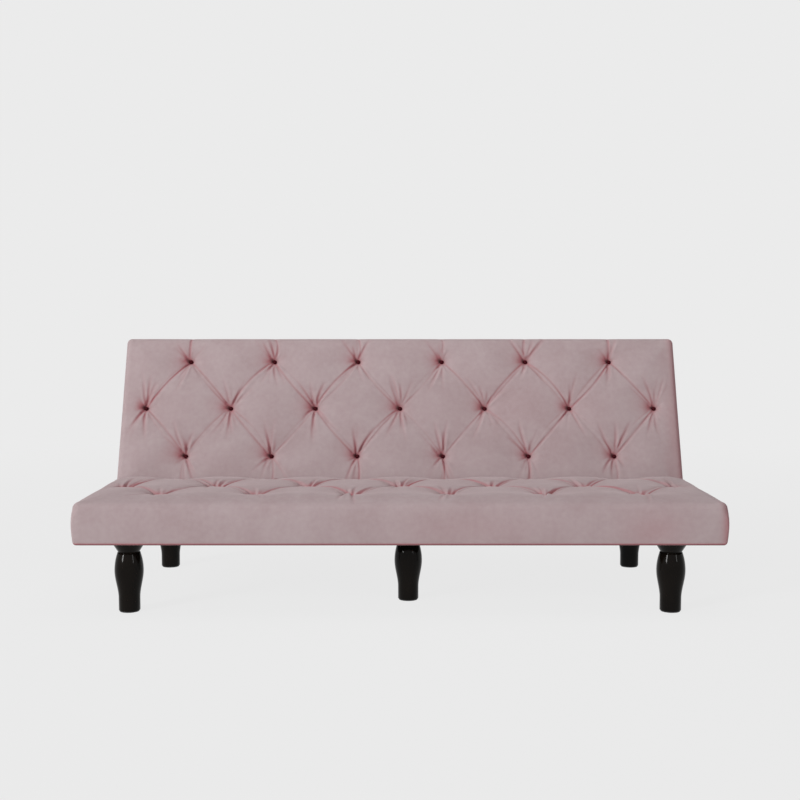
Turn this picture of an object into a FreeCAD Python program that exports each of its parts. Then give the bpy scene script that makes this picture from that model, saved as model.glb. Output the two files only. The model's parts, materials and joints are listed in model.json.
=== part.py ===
import FreeCAD
import Part
import Sketcher
import math
import os

# A two-pad sofa bed on five turned legs. The back pad turns about a pivot at each end to lie flat behind the seat.
# Lengths are in millimetres and angles in degrees. +Z is up and the seat faces -Y.
# Setbacks are measured from the front face of the seat, and each pad has its own frame: x across, u along, v thick.

DIMENSIONS = [
    ("sofa_width", 1800, "pads, over both ends"),
    ("seat_depth", 519, "seat pad, front to rear"),
    ("back_length", 519, "back pad, lower end to top"),
    ("seat_thickness", 112, "seat pad at its border"),
    ("lean", 22.5, "back pad from the vertical, as a sofa"),
    ("release_angle", 10, "forward of upright, to free the catch"),
    ("crown", 12, "rise of a tufted diamond over the border"),
    ("tuft_dip", 18, "button seat below the border"),
    ("quilt_least", 6, "quilted cover under a button"),
    ("cover_wall", 6, "cover with its wadding, at the sides"),
    ("lip_width", 40, "cover turned in under a pad"),
    ("lip_thickness", 3, "cover turned in under a pad"),
    ("side_bulge", 3, "swell of a pad's end faces"),
    ("top_edge_radius", 18, "upper edges of a pad"),
    ("bottom_edge_radius", 12, "lower edges of a pad"),
    ("corner_radius", 14, "upright corners of a pad"),
    ("end_edge_radius", 15, "rounding at the front and rear faces"),
    ("end_margin", 81, "outermost button to the pad's end"),
    ("seat_front_margin", 138, "first button row to the seat front"),
    ("seat_rear_margin", 61, "last button row to the seat rear"),
    ("back_top_margin", 78, "top button row to the back's top"),
    ("back_lower_margin", 121, "lowest button row to the back's lower end"),
    ("button_diameter", 15, "covered button"),
    ("button_height", 7, "covered button"),
    ("button_seat", 18, "flat floor of a tuft"),
    ("button_rim", 1, "tuft's floor past its button seat, along the pad"),
    ("crease_width", 4, "pleat where it runs out at the border"),
    ("shank_diameter", 4, "button shank"),
    ("shank_length", 4, "button shank"),
    ("tie_diameter", 2, "twine that holds a button"),
    ("toggle_diameter", 14, "disc that anchors the twine"),
    ("toggle_thickness", 2, "disc that anchors the twine"),
    ("soft_clearance", 0.3, "between soft pieces and their neighbours"),
    ("dust_thickness", 1, "dust cover"),
    ("panel_clearance", 0.3, "rear panel in its opening"),
    ("deck_thickness", 9, "plywood deck"),
    ("frame_clearance", 2, "frame inside the cover"),
    ("tube_width", 20, "frame tube"),
    ("tube_height", 20, "frame tube and rail"),
    ("tube_wall", 2, "frame tube and rail"),
    ("rail_width", 30, "long rail"),
    ("rail_overhang", 45, "rail behind the rear legs' axis"),
    ("cap_thickness", 3, "rail end cap"),
    ("cap_plug", 12, "rail end cap, inside the rail"),
    ("cap_clearance", 0.1, "rail end cap in the rail"),
    ("bumper_diameter", 20, "rubber bumper on a rail"),
    ("leg_height", 202, "floor to leg plate"),
    ("leg_end_inset", 142, "legs and rails to the pad's end"),
    ("front_leg_setback", 85, "front legs"),
    ("centre_leg_setback", 227, "centre leg"),
    ("rear_leg_setback", 699, "rear legs"),
    ("centre_leg_offset", 24, "centre leg and centre tubes, to the right"),
    ("leg_foot_diameter", 60.5, "turned leg"),
    ("leg_foot_height", 34, "turned leg, straight foot"),
    ("leg_belly_diameter", 82, "turned leg"),
    ("leg_belly_height", 118, "turned leg, above the floor"),
    ("leg_neck_diameter", 64, "turned leg"),
    ("leg_neck_length", 5, "turned leg"),
    ("leg_rim_diameter", 90, "turned leg"),
    ("leg_rim_height", 13, "turned leg"),
    ("leg_cove_height", 13, "turned leg, hollow under the rim"),
    ("leg_rim_chamfer", 1.5, "turned leg"),
    ("glide_diameter", 54, "foot glide"),
    ("glide_thickness", 3, "foot glide"),
    ("plate_size", 80, "leg plate, square"),
    ("plate_thickness", 4, "leg plate"),
    ("plate_corner", 10, "leg plate"),
    ("plate_clearance", 2, "dust cover round a leg plate"),
    ("stud_diameter", 8, "leg stud"),
    ("stud_depth", 45, "leg stud in the leg"),
    ("stud_clearance", 0.05, "leg stud in its holes"),
    ("stud_nut_width", 13, "nut on a leg stud, across flats"),
    ("stud_nut_height", 6.5, "nut on a leg stud"),
    ("screw_pitch", 400, "deck screws along a tube"),
    ("screw_diameter", 4.4, "deck screw"),
    ("screw_head_diameter", 10, "deck screw"),
    ("screw_head_height", 1.6, "deck screw"),
    ("screw_reach", 5, "deck screw below the deck"),
    ("screw_clearance", 0.1, "deck screw in its hole"),
    ("pivot_inset", 20, "pivot from the back's lower end"),
    ("pivot_rear", 47, "pivot from the back's rear face"),
    ("running_clearance", 2, "back's lower edge over the rails"),
    ("seat_back_gap", 3, "back's lower edge behind the seat"),
    ("hinge_thickness", 5, "hinge plate and hinge arm"),
    ("washer_thickness", 1, "between hinge plate and arm"),
    ("washer_diameter", 20, "between hinge plate and arm"),
    ("hinge_base_front", 30, "hinge plate's foot, ahead of the pivot"),
    ("hinge_eye_diameter", 36, "hinge plate round the pivot"),
    ("pin_diameter", 10, "pivot pin"),
    ("pin_clearance", 0.05, "pivot and pawl pins in their bores"),
    ("pin_head_diameter", 18, "pivot pin"),
    ("pin_head_height", 5, "pivot pin"),
    ("pin_nut_width", 16, "pivot nut, across flats"),
    ("pin_nut_height", 7, "pivot nut"),
    ("pin_tail", 2, "pivot pin past its nut"),
    ("axial_clearance", 0.1, "along the pins"),
    ("hub_diameter", 48, "notched hub of the arm"),
    ("notch_width", 8, "hub notch"),
    ("notch_depth", 5.7, "hub notch"),
    ("notch_shift", 0.9, "hub notch, towards the pawl's pin"),
    ("strap_width", 32, "hinge arm at the hub"),
    ("strap_clearance", 2, "hinge arm over the bottom tube"),
    ("strap_length", 136, "hinge arm along the side tube"),
    ("strap_inset", 1, "hinge arm inside the tube's edges"),
    ("arm_bolt_diameter", 6, "arm to side tube"),
    ("arm_bolt_pitch", 55, "arm to side tube"),
    ("arm_bolt_end", 20, "last arm bolt to the arm's end"),
    ("arm_bolt_clearance", 0.1, "arm bolts in their holes"),
    ("arm_bolt_head", 10, "arm bolt and nut, across flats"),
    ("arm_bolt_head_height", 4, "arm bolt and nut"),
    ("hinge_rim", 2, "hinge plate behind the pawl's boss"),
    ("pawl_setback", 36, "pawl pin behind the pivot"),
    ("pawl_drop", 36, "pawl pin below the pivot"),
    ("pawl_boss_diameter", 16, "pawl round its pin"),
    ("pawl_thickness", 4, "pawl"),
    ("pawl_tip_width", 3, "pawl tooth"),
    ("pawl_tip_gap", 1, "pawl tooth below the hub, as held off"),
    ("pawl_pin_diameter", 8, "pawl pin"),
    ("pawl_pin_head", 12, "pawl pin's heads"),
    ("pawl_pin_head_height", 3, "pawl pin's heads"),
    ("spring_thickness", 0.8, "leaf spring"),
    ("spring_foot", 16, "leaf spring on the rail"),
    ("spring_clearance", 0.6, "leaf spring under the pawl, as held off"),
    ("slot_clearance", 6, "cut in the back pad, round the hinge"),
    ("slot_half_width", 20, "cut in the back pad, each side of the rail's middle"),
]

# How far a cut runs past the face that it opens
OVERRUN = 1

# Where the loft of a pad takes its sections: angles round its front and rear edges, then shares of each stretch
EDGE_ANGLES = (0, 30, 60)
MARGIN_SHARES = (0, 1 / 2, 1)
DIAMOND_SHARES = (0, 1 / 3, 2 / 3, 1)

# A crease rises by this share of the tuft's dip between two buttons, and an arc lower than this is a line
CREASE_RISE = 0.75
LEAST_RISE = 0.05

# The pawl's outline: its tooth leans by a share of its height and widens, in tooth widths, to heel and nose,
# and shoulder and undercut are parts of the tooth's height and of the boss's radius
TOOTH_LEAN = 0.1
TOOTH_HEEL = 2.2
TOOTH_NOSE = 1.3
TOOTH_SHOULDER = 5
LEVER_UNDERCUT = 4

doc = FreeCAD.newDocument("SofaBed")
sheet = doc.addObject("Spreadsheet::Sheet", "dims")
for row, (alias, value, note) in enumerate(DIMENSIONS, start=1):
    sheet.set(f"A{row}", note)
    sheet.set(f"B{row}", str(value))
    sheet.setAlias(f"B{row}", alias)
doc.recompute()

parts = {}

# Lengths worked out from the sheet, as expressions
HALF_WIDTH = "(dims.sofa_width / 2)"
RAIL_X = f"({HALF_WIDTH} - dims.leg_end_inset)"
BUTTON_PITCH = f"(({HALF_WIDTH} - dims.end_margin) / 3)"
FRAME_BOTTOM_Z = "(dims.leg_height + dims.plate_thickness)"
RAIL_TOP_Z = f"({FRAME_BOTTOM_Z} + dims.tube_height)"
SEAT_BOTTOM_Z = f"({FRAME_BOTTOM_Z} - dims.lip_thickness - dims.dust_thickness)"
SEAT_TOP_Z = f"({SEAT_BOTTOM_Z} + dims.seat_thickness)"
RAIL_END = "(dims.rear_leg_setback + dims.rail_overhang)"

# The pivot stands just high enough for the back's lower rear edge to swing over the rails
REAR_SWING = (
    "(sqrt((dims.pivot_inset - dims.bottom_edge_radius)^2 + (dims.pivot_rear - dims.bottom_edge_radius)^2)"
    " + dims.bottom_edge_radius)"
)
PIVOT_RISE = f"(dims.running_clearance + {REAR_SWING})"
PIVOT_Z = f"({RAIL_TOP_Z} + {PIVOT_RISE})"
PIVOT_DEPTH = f"({SEAT_TOP_Z} - {PIVOT_Z})"
BACK_THICKNESS = f"({PIVOT_DEPTH} + dims.pivot_rear)"
FRONT_SWING = (
    f"(sqrt((dims.pivot_inset - dims.end_edge_radius)^2 + ({PIVOT_DEPTH} - dims.end_edge_radius)^2)"
    " + dims.end_edge_radius)"
)
PIVOT_SETBACK = f"(dims.seat_depth + dims.seat_back_gap + {FRONT_SWING})"
RECLINE = "(90 - dims.lean)"
BUMPER_HEIGHT = f"({PIVOT_RISE} - dims.pivot_rear - dims.soft_clearance)"

# Half of the depth over all, from the seat front to the back's upper rear edge
MIDDLE = (
    f"(({PIVOT_SETBACK} + (dims.back_length - dims.bottom_edge_radius - dims.pivot_inset) * sin(dims.lean)"
    " + (dims.pivot_rear - dims.bottom_edge_radius) * cos(dims.lean) + dims.bottom_edge_radius) / 2)"
)

# Levels in each pad's own thickness
SEAT_FRAME_V = "(dims.lip_thickness + dims.dust_thickness)"
BACK_FRAME_V = "dims.lip_thickness"
HUB_RADIUS = "(dims.hub_diameter / 2)"
PIN_RADIUS = "(dims.pin_diameter / 2)"
PIN_BORE = f"({PIN_RADIUS} + dims.pin_clearance)"
PAWL_PIN_RADIUS = "(dims.pawl_pin_diameter / 2)"
PAWL_BORE = f"({PAWL_PIN_RADIUS} + dims.pin_clearance)"
HINGE_REAR = "(dims.pawl_setback + dims.pawl_boss_diameter / 2 + dims.hinge_rim)"
SLOT_LENGTH = f"(dims.pivot_inset + {HINGE_REAR} + dims.slot_clearance)"
SLOT_DEPTH = f"(dims.pivot_rear + {HUB_RADIUS} + dims.slot_clearance / 2)"
BOTTOM_TUBE_U = f"({SLOT_LENGTH} + dims.slot_clearance)"
STRAP_TURN_U = f"({BOTTOM_TUBE_U} + dims.tube_width + dims.strap_clearance)"
STRAP_END_U = f"({STRAP_TURN_U} + dims.strap_length)"
DECK_SLOT_U = f"({STRAP_TURN_U} + dims.pivot_rear + dims.slot_clearance)"


def size(expression):
    """The number that an expression on the sheet gives."""
    return float(sheet.evalExpression(expression))


def shift(x="0", y="0", z="0"):
    """A placement without rotation, from three expressions."""
    return FreeCAD.Placement(FreeCAD.Vector(size(x), size(y), size(z)), FreeCAD.Rotation())


FRONT = shift(y=f"-{MIDDLE}")
SEAT = shift(y=f"-{MIDDLE}", z=SEAT_BOTTOM_Z)
PIVOT = shift(y=f"{PIVOT_SETBACK} - {MIDDLE}", z=PIVOT_Z)
BACK_AT_PIVOT = PIVOT.multiply(
    FreeCAD.Placement(FreeCAD.Vector(), FreeCAD.Rotation(FreeCAD.Vector(1, 0, 0), size(RECLINE)))
)
BACK = BACK_AT_PIVOT.multiply(shift(y="-dims.pivot_inset", z="-dims.pivot_rear"))


def keep(item, label, placement):
    """Name a finished sub-part and put it in its place."""
    item.Label = label
    item.Placement = placement
    parts[label] = item
    return item


def feature(label, shape, placement):
    """A sub-part whose shape is worked out in code."""
    item = doc.addObject("Part::Feature", label)
    item.Shape = shape
    return keep(item, label, placement)


def box(name, corner, extents):
    """A box whose corner and extents are expressions."""
    item = doc.addObject("Part::Box", name)
    for side, expression in zip(("Length", "Width", "Height"), extents):
        item.setExpression(side, expression)
    for axis, expression in zip("xyz", corner):
        item.setExpression(f"Placement.Base.{axis}", expression)
    return item


def cut(name, base, tool):
    """One solid less another."""
    item = doc.addObject("Part::Cut", name)
    item.Base = base
    item.Tool = tool
    return item


def tool(name, shapes):
    """Several cutting shapes as one."""
    item = doc.addObject("Part::Feature", name)
    item.Shape = Part.makeCompound(shapes)
    return item


def cylinder(radius, height, base, direction=(0, 0, 1)):
    """A cylinder of a given radius and height, in numbers."""
    return Part.makeCylinder(radius, height, FreeCAD.Vector(*base), FreeCAD.Vector(*direction))


def block(low, high):
    """A box between two corners, in numbers."""
    extents = [top - bottom for bottom, top in zip(low, high)]
    return Part.makeBox(*extents, FreeCAD.Vector(*low))


def tube(name, corner, extents, along, holes=None):
    """A rectangular tube with its bore along one axis, and any holes in its walls."""
    bore_corner = []
    bore_extents = []
    for axis, (start, extent) in enumerate(zip(corner, extents)):
        if axis == along:
            bore_corner.append(f"{start} - dims.tube_wall")
            bore_extents.append(f"{extent} + 2 * dims.tube_wall")
        else:
            bore_corner.append(f"{start} + dims.tube_wall")
            bore_extents.append(f"{extent} - 2 * dims.tube_wall")
    outer = box(f"{name}_outer", corner, extents)
    bore = box(f"{name}_bore", bore_corner, bore_extents)
    item = cut(f"{name}_tube", outer, bore)
    if holes:
        item = cut(f"{name}_drilled", item, tool(f"{name}_holes", holes))
    return item


def plane(body, role):
    """An origin plane of a body, by its role."""
    return next(item for item in body.Origin.OriginFeatures if item.Role == role)


def new_sketch(body, name, role):
    """An empty sketch on one of its body's origin planes."""
    sketch = body.newObject("Sketcher::SketchObject", name)
    sketch.AttachmentSupport = [(plane(body, role), "")]
    sketch.MapMode = "FlatFace"
    return sketch


def bind(sketch, kind, value, *references):
    """A driving dimension of a sketch, bound to an expression."""
    index = sketch.addConstraint(Sketcher.Constraint(kind, *references, size(value)))
    sketch.setExpression(f"Constraints[{index}]", value)


def arc_between(start, end, radius, side):
    """The arc of a radius from start to end that bulges to the left (side 1) or right (side -1)."""
    chord = end - start
    half = chord.Length / 2
    sagitta = radius - math.sqrt(radius ** 2 - half ** 2)
    left = FreeCAD.Vector(-chord.y, chord.x, 0).normalize()
    centre = (start + end) / 2 + left * side * (sagitta - radius)
    first, last = (end, start) if side > 0 else (start, end)
    begin = math.atan2(first.y - centre.y, first.x - centre.x)
    finish = math.atan2(last.y - centre.y, last.x - centre.x)
    if finish < begin:
        finish += 2 * math.pi
    circle = Part.Circle(centre, FreeCAD.Vector(0, 0, 1), radius)
    return Part.ArcOfCircle(circle, begin, finish)


def outline(body, name, role, points, arcs=None):
    """A closed sketch through points of expressions. arcs gives, for a side's number, its radius and side."""
    arcs = arcs or {}
    sketch = new_sketch(body, name, role)
    places = [FreeCAD.Vector(size(x), size(y), 0) for x, y in points]
    count = len(points)
    starts = []
    ends = []
    for index, start in enumerate(places):
        end = places[(index + 1) % count]
        if index in arcs:
            radius, side = arcs[index]
            sketch.addGeometry(arc_between(start, end, size(radius), side))
            starts.append(2 if side > 0 else 1)
            ends.append(1 if side > 0 else 2)
        else:
            sketch.addGeometry(Part.LineSegment(start, end))
            starts.append(1)
            ends.append(2)
    for index in range(count):
        following = (index + 1) % count
        joint = Sketcher.Constraint("Coincident", index, ends[index], following, starts[following])
        sketch.addConstraint(joint)
    for index, (x, y) in enumerate(points):
        bind(sketch, "DistanceX", x, -1, 1, index, starts[index])
        bind(sketch, "DistanceY", y, -1, 1, index, starts[index])
    for index, (radius, side) in arcs.items():
        bind(sketch, "Radius", radius, index)
    return sketch


def circle(body, name, role, centre, radius):
    """A sketch of one circle."""
    sketch = new_sketch(body, name, role)
    middle = FreeCAD.Vector(size(centre[0]), size(centre[1]), 0)
    sketch.addGeometry(Part.Circle(middle, FreeCAD.Vector(0, 0, 1), size(radius)))
    bind(sketch, "DistanceX", centre[0], -1, 1, 0, 3)
    bind(sketch, "DistanceY", centre[1], -1, 1, 0, 3)
    bind(sketch, "Radius", radius, 0)
    return sketch


def extrude(body, sketch, length):
    """Pad a sketch by an expression."""
    item = body.newObject("PartDesign::Pad", f"{sketch.Name}_pad")
    item.Profile = sketch
    item.setExpression("Length", length)
    doc.recompute()
    return item


def pocket(body, sketch):
    """Cut a sketch right through the body, both ways."""
    before = body.Shape.Volume
    item = body.newObject("PartDesign::Pocket", f"{sketch.Name}_pocket")
    item.Profile = sketch
    item.Type = "ThroughAll"
    item.Midplane = True
    doc.recompute()
    if not item.Shape.Volume < before:
        raise RuntimeError(f"{item.Name} cuts nothing")
    return item


def revolve(body, sketch):
    """Turn a sketch on an XZ plane about its upright axis."""
    item = body.newObject("PartDesign::Revolution", f"{sketch.Name}_turn")
    item.Profile = sketch
    item.ReferenceAxis = (sketch, ["V_Axis"])
    item.Angle = 360
    doc.recompute()
    return item


def hexagon(across_flats, bore, height):
    """A nut lying on its face, in numbers."""
    radius = across_flats / math.sqrt(3)
    corners = []
    for corner in range(7):
        angle = math.radians(60 * corner)
        corners.append(FreeCAD.Vector(radius * math.cos(angle), radius * math.sin(angle), 0))
    solid = Part.Face(Part.makePolygon(corners)).extrude(FreeCAD.Vector(0, 0, height))
    if bore:
        solid = solid.cut(cylinder(bore, height, (0, 0, 0)))
    return solid


def moved(shape, x=0.0, y=0.0, z=0.0, turn=None):
    """A copy of a shape, turned and then moved."""
    copy = shape.copy()
    rotation = FreeCAD.Rotation(*turn) if turn else FreeCAD.Rotation()
    copy.Placement = FreeCAD.Placement(FreeCAD.Vector(x, y, z), rotation).multiply(copy.Placement)
    return copy


SIDES = {"left": -1, "right": 1}
Y_AXIS = FreeCAD.Vector(0, 1, 0)
Z_AXIS = FreeCAD.Vector(0, 0, 1)


class Pad:
    """Sizes of one tufted pad in its own frame, with its button rows from u = 0 upwards."""

    def __init__(self, name, length, thickness, frame_v, first_margin, last_margin, placement):
        self.name = name
        self.length_expression = length
        self.frame_v = frame_v
        self.deck_v = f"({frame_v} + dims.tube_height)"
        self.foam_v = f"({self.deck_v} + dims.deck_thickness)"
        self.roof_v = f"({thickness} - dims.tuft_dip - dims.quilt_least)"
        self.length = size(length)
        self.thickness = size(thickness)
        first = size(first_margin)
        last = self.length - size(last_margin)
        self.rows = [first, (first + last) / 2, last]
        self.placement = placement

    def buttons(self):
        """The (x, u) place of each button: six, seven and six in a row, half a pitch apart."""
        pitch = size(BUTTON_PITCH)
        places = []
        for count, u in zip((6, 7, 6), self.rows):
            for index in range(count):
                places.append(((index - (count - 1) / 2) * pitch, u))
        return places


def tuft_section(pad, u, inset, odd_width, strip, crease, odd_crest, even_crest):
    """One closed cross-section of a pad: flat below, rounded edges, and arcs between the creases on top.

    The creases stand in pairs odd_width apart about the six-button columns, with one more strip outside them.
    inset, from 1 to 0, draws the section in to round the pad's front and rear faces.
    """
    bulge = size("dims.side_bulge")
    top_radius = size("dims.top_edge_radius")
    bottom_radius = size("dims.bottom_edge_radius")
    half = size(HALF_WIDTH) - bulge - size("dims.corner_radius") * inset
    low = bottom_radius * inset
    drop = top_radius * inset
    top = pad.thickness - drop
    pitch = size(BUTTON_PITCH)
    creases = [-(2.5 * pitch + odd_width / 2 + strip)]
    for column in range(6):
        middle = (column - 2.5) * pitch
        creases += [middle - odd_width / 2, middle + odd_width / 2]
    creases.append(-creases[0])
    border = half - top_radius
    xs = [-border] + creases + [border]
    heights = [top] + [crease - drop] * len(creases) + [top]
    even_rise = even_crest - crease
    odd_rise = odd_crest - crease
    end_rise = (pad.thickness - crease) / 2
    rises = [end_rise, 0] + [odd_rise, even_rise] * 5 + [odd_rise, 0, end_rise]
    corner = 1 - math.sqrt(0.5)
    edges = []

    def point(x, v):
        return FreeCAD.Vector(x, u, v)

    def line(start, end):
        edges.append(Part.LineSegment(start, end).toShape())

    def arc(start, middle, end):
        edges.append(Part.Arc(start, middle, end).toShape())

    line(point(-half + bottom_radius, low), point(half - bottom_radius, low))
    arc(
        point(half - bottom_radius, low),
        point(half - corner * bottom_radius, low + corner * bottom_radius),
        point(half, low + bottom_radius),
    )
    side_middle = (low + bottom_radius + top - top_radius) / 2
    arc(point(half, low + bottom_radius), point(half + bulge, side_middle), point(half, top - top_radius))
    arc(
        point(half, top - top_radius),
        point(half - corner * top_radius, top - corner * top_radius),
        point(border, top),
    )
    for index in reversed(range(len(rises))):
        start = point(xs[index + 1], heights[index + 1])
        end = point(xs[index], heights[index])
        if rises[index] < LEAST_RISE:
            line(start, end)
        else:
            arc(start, (start + end) / 2 + FreeCAD.Vector(0, 0, rises[index]), end)
    arc(
        point(-border, top),
        point(-half + corner * top_radius, top - corner * top_radius),
        point(-half, top - top_radius),
    )
    arc(point(-half, top - top_radius), point(-half - bulge, side_middle), point(-half, low + bottom_radius))
    arc(
        point(-half, low + bottom_radius),
        point(-half + corner * bottom_radius, low + corner * bottom_radius),
        point(-half + bottom_radius, low),
    )
    return Part.Wire(edges)


def margin_section(pad, u, share, inset=0.0):
    """A section between a pad's edge (share 0) and its nearest button row (share 1)."""
    crease_width = size("dims.crease_width")
    seat = size("dims.button_seat")
    crease = pad.thickness - size("dims.tuft_dip") * share ** 2
    crest = pad.thickness + size("dims.crown") * math.sin(math.pi / 2 * share)
    width = crease_width + (seat - crease_width) * share
    return tuft_section(pad, u, inset, width, crease_width, crease, crease, crest)


def diamond_section(pad, u, share):
    """A section between a six-button row (share 0) and the seven-button row (share 1).

    The creases run from each button of one row to its two neighbours of the other row.
    """
    pitch = size(BUTTON_PITCH)
    seat = size("dims.button_seat")
    crease_width = size("dims.crease_width")
    dip = size("dims.tuft_dip")
    floor = pad.thickness - dip
    full = dip + size("dims.crown")
    crease = floor + CREASE_RISE * dip * math.sin(math.pi * share)
    odd_crest = floor + full * math.sin(math.pi / 2 * share)
    even_crest = floor + full * math.sin(math.pi / 2 * (1 - share))
    width = seat + (pitch - 2 * seat) * share
    strip = crease_width + (seat - crease_width) * share
    return tuft_section(pad, u, 0.0, width, strip, crease, odd_crest, even_crest)


def tufted_form(pad):
    """The outside of a pad: a ruled loft from its front face to its rear face, through the tufts."""
    radius = size("dims.end_edge_radius")
    flat = size("dims.button_seat / 2 + dims.button_rim")
    first, middle, last = pad.rows
    sections = []
    for angle in EDGE_ANGLES:
        turn = math.radians(angle)
        sections.append(margin_section(pad, radius * (1 - math.cos(turn)), 0, 1 - math.sin(turn)))
    for share in MARGIN_SHARES:
        sections.append(margin_section(pad, radius + share * (first - flat - radius), share))
    for start, end, ends in ((first, middle, (0, 1)), (middle, last, (1, 0))):
        for share in DIAMOND_SHARES:
            u = start + flat + share * (end - start - 2 * flat)
            sections.append(diamond_section(pad, u, ends[0] + share * (ends[1] - ends[0])))
    for share in reversed(MARGIN_SHARES):
        sections.append(margin_section(pad, pad.length - radius - share * (pad.length - radius - last - flat), share))
    for angle in reversed(EDGE_ANGLES):
        turn = math.radians(angle)
        sections.append(margin_section(pad, pad.length - radius * (1 - math.cos(turn)), 0, 1 - math.sin(turn)))
    return Part.makeLoft(sections, True, True)


def pad_cover(pad, cuts):
    """The quilted cover: the tufted form with a room for the foam and frame, a turned-in lip and its cuts."""
    half = size(HALF_WIDTH)
    wall = size("dims.cover_wall")
    lip = size("dims.lip_width")
    lip_top = size("dims.lip_thickness")
    roof = size(pad.roof_v)
    room = block((-half + wall, wall, lip_top), (half - wall, pad.length - wall, roof))
    mouth = block((-half + lip, lip, -OVERRUN), (half - lip, pad.length - lip, lip_top + OVERRUN))
    shank = size("dims.shank_diameter / 2 + dims.soft_clearance")
    holes = []
    for x, u in pad.buttons():
        holes.append(cylinder(shank, pad.thickness - roof, (x, u, roof - OVERRUN)))
    cover = tufted_form(pad).cut([room, mouth] + holes + cuts)
    return feature(f"{pad.name}_cover", cover, pad.placement)


def pad_foam(pad, cuts):
    """The foam slab, from the deck to the underside of the quilting, with a hole for each tie."""
    wall = "(dims.cover_wall + dims.soft_clearance)"
    name = f"{pad.name}_foam"
    slab = box(
        f"{name}_slab",
        (f"-{HALF_WIDTH} + {wall}", wall, pad.foam_v),
        (f"dims.sofa_width - 2 * {wall}", f"{pad.length_expression} - 2 * {wall}",
         f"{pad.roof_v} - {pad.foam_v} - dims.soft_clearance"),
    )
    radius = size("dims.tie_diameter / 2 + dims.soft_clearance")
    holes = []
    for x, u in pad.buttons():
        holes.append(cylinder(radius, pad.thickness, (x, u, 0)))
    keep(cut(name, slab, tool(f"{name}_cuts", holes + cuts)), name, pad.placement)


def screw_places(tube_us):
    """The (x, u) place of each deck screw, along the tubes at tube_us."""
    pitch = size("dims.screw_pitch")
    places = []
    for u in tube_us:
        for step in (-1.5, -0.5, 0.5, 1.5):
            places.append((step * pitch, size(u)))
    return places


def screw_holes(pad, tube_us):
    """Shank holes for the deck screws, through the deck and the tubes' upper walls."""
    radius = size("dims.screw_diameter / 2 + dims.screw_clearance")
    start = size(f"{pad.deck_v} - dims.tube_wall") - OVERRUN
    height = size("dims.tube_wall + dims.deck_thickness") + 2 * OVERRUN
    return [cylinder(radius, height, (x, u, start)) for x, u in screw_places(tube_us)]


def pad_deck(pad, tube_us, cuts):
    """The plywood deck on the frame, drilled for ties and screws."""
    inset = "(dims.cover_wall + dims.frame_clearance)"
    name = f"{pad.name}_deck"
    sheet_of_ply = box(
        f"{name}_sheet",
        (f"-{HALF_WIDTH} + {inset}", inset, pad.deck_v),
        (f"dims.sofa_width - 2 * {inset}", f"{pad.length_expression} - 2 * {inset}", "dims.deck_thickness"),
    )
    holes = screw_holes(pad, tube_us)
    bottom = size(pad.deck_v)
    top = size(pad.foam_v)
    head = size("dims.screw_head_diameter / 2 + dims.screw_clearance")
    sunk = size("dims.screw_head_height + dims.screw_clearance")
    for x, u in screw_places(tube_us):
        holes.append(cylinder(head, sunk + OVERRUN, (x, u, top - sunk)))
    tie = size("dims.tie_diameter / 2 + dims.soft_clearance")
    recess = size("dims.toggle_diameter / 2 + dims.soft_clearance")
    recess_depth = size("dims.toggle_thickness + dims.soft_clearance")
    for x, u in pad.buttons():
        holes.append(cylinder(tie, pad.thickness, (x, u, 0)))
        holes.append(cylinder(recess, recess_depth + OVERRUN, (x, u, bottom - OVERRUN)))
    keep(cut(name, sheet_of_ply, tool(f"{name}_cuts", holes + cuts)), name, pad.placement)


def pad_screws(pad, tube_us):
    """Flat-headed screws, sunk in the deck and held in the tubes' upper walls."""
    top = size(f"{pad.foam_v} - dims.screw_clearance")
    head = size("dims.screw_head_height")
    shank = size("dims.deck_thickness + dims.screw_reach")
    solids = []
    for x, u in screw_places(tube_us):
        disc = cylinder(size("dims.screw_head_diameter / 2"), head, (x, u, top - head))
        stem = cylinder(size("dims.screw_diameter / 2"), shank, (x, u, top - shank))
        solids.append(disc.fuse(stem).removeSplitter())
    feature(f"{pad.name}_deck_screws", Part.makeCompound(solids), pad.placement)


def button_body():
    """One domed, covered button with a short shank, its flat underside at z = 0."""
    radius = "(dims.button_diameter / 2)"
    shank = "(dims.shank_diameter / 2)"
    rim = "(dims.button_height / 4)"
    dome = f"(dims.button_height - {rim})"
    body = doc.addObject("PartDesign::Body", "button")
    points = [
        ("0", "-dims.shank_length"),
        (shank, "-dims.shank_length"),
        (shank, "0"),
        (radius, "0"),
        (radius, rim),
        ("0", "dims.button_height"),
    ]
    dome_radius = f"(({radius}^2 + {dome}^2) / (2 * {dome}))"
    revolve(body, outline(body, "button_profile", "XZ_Plane", points, {4: (dome_radius, -1)}))
    return body


def pad_buttons(pad, button):
    """The buttons, each on the floor of its tuft."""
    v = pad.thickness - size("dims.tuft_dip - dims.soft_clearance")
    solids = [moved(button.Shape, x, u, v) for x, u in pad.buttons()]
    feature(f"{pad.name}_buttons", Part.makeCompound(solids), pad.placement)


def pad_ties(pad):
    """Twine from each button's shank to a disc let into the underside of the deck."""
    bottom = size(f"{pad.deck_v} + dims.soft_clearance / 2")
    top = pad.thickness - size("dims.tuft_dip + dims.shank_length")
    solids = []
    for x, u in pad.buttons():
        disc = cylinder(size("dims.toggle_diameter / 2"), size("dims.toggle_thickness"), (x, u, bottom))
        twine = cylinder(size("dims.tie_diameter / 2"), top - bottom, (x, u, bottom))
        solids.append(disc.fuse(twine).removeSplitter())
    feature(f"{pad.name}_ties", Part.makeCompound(solids), pad.placement)


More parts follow.
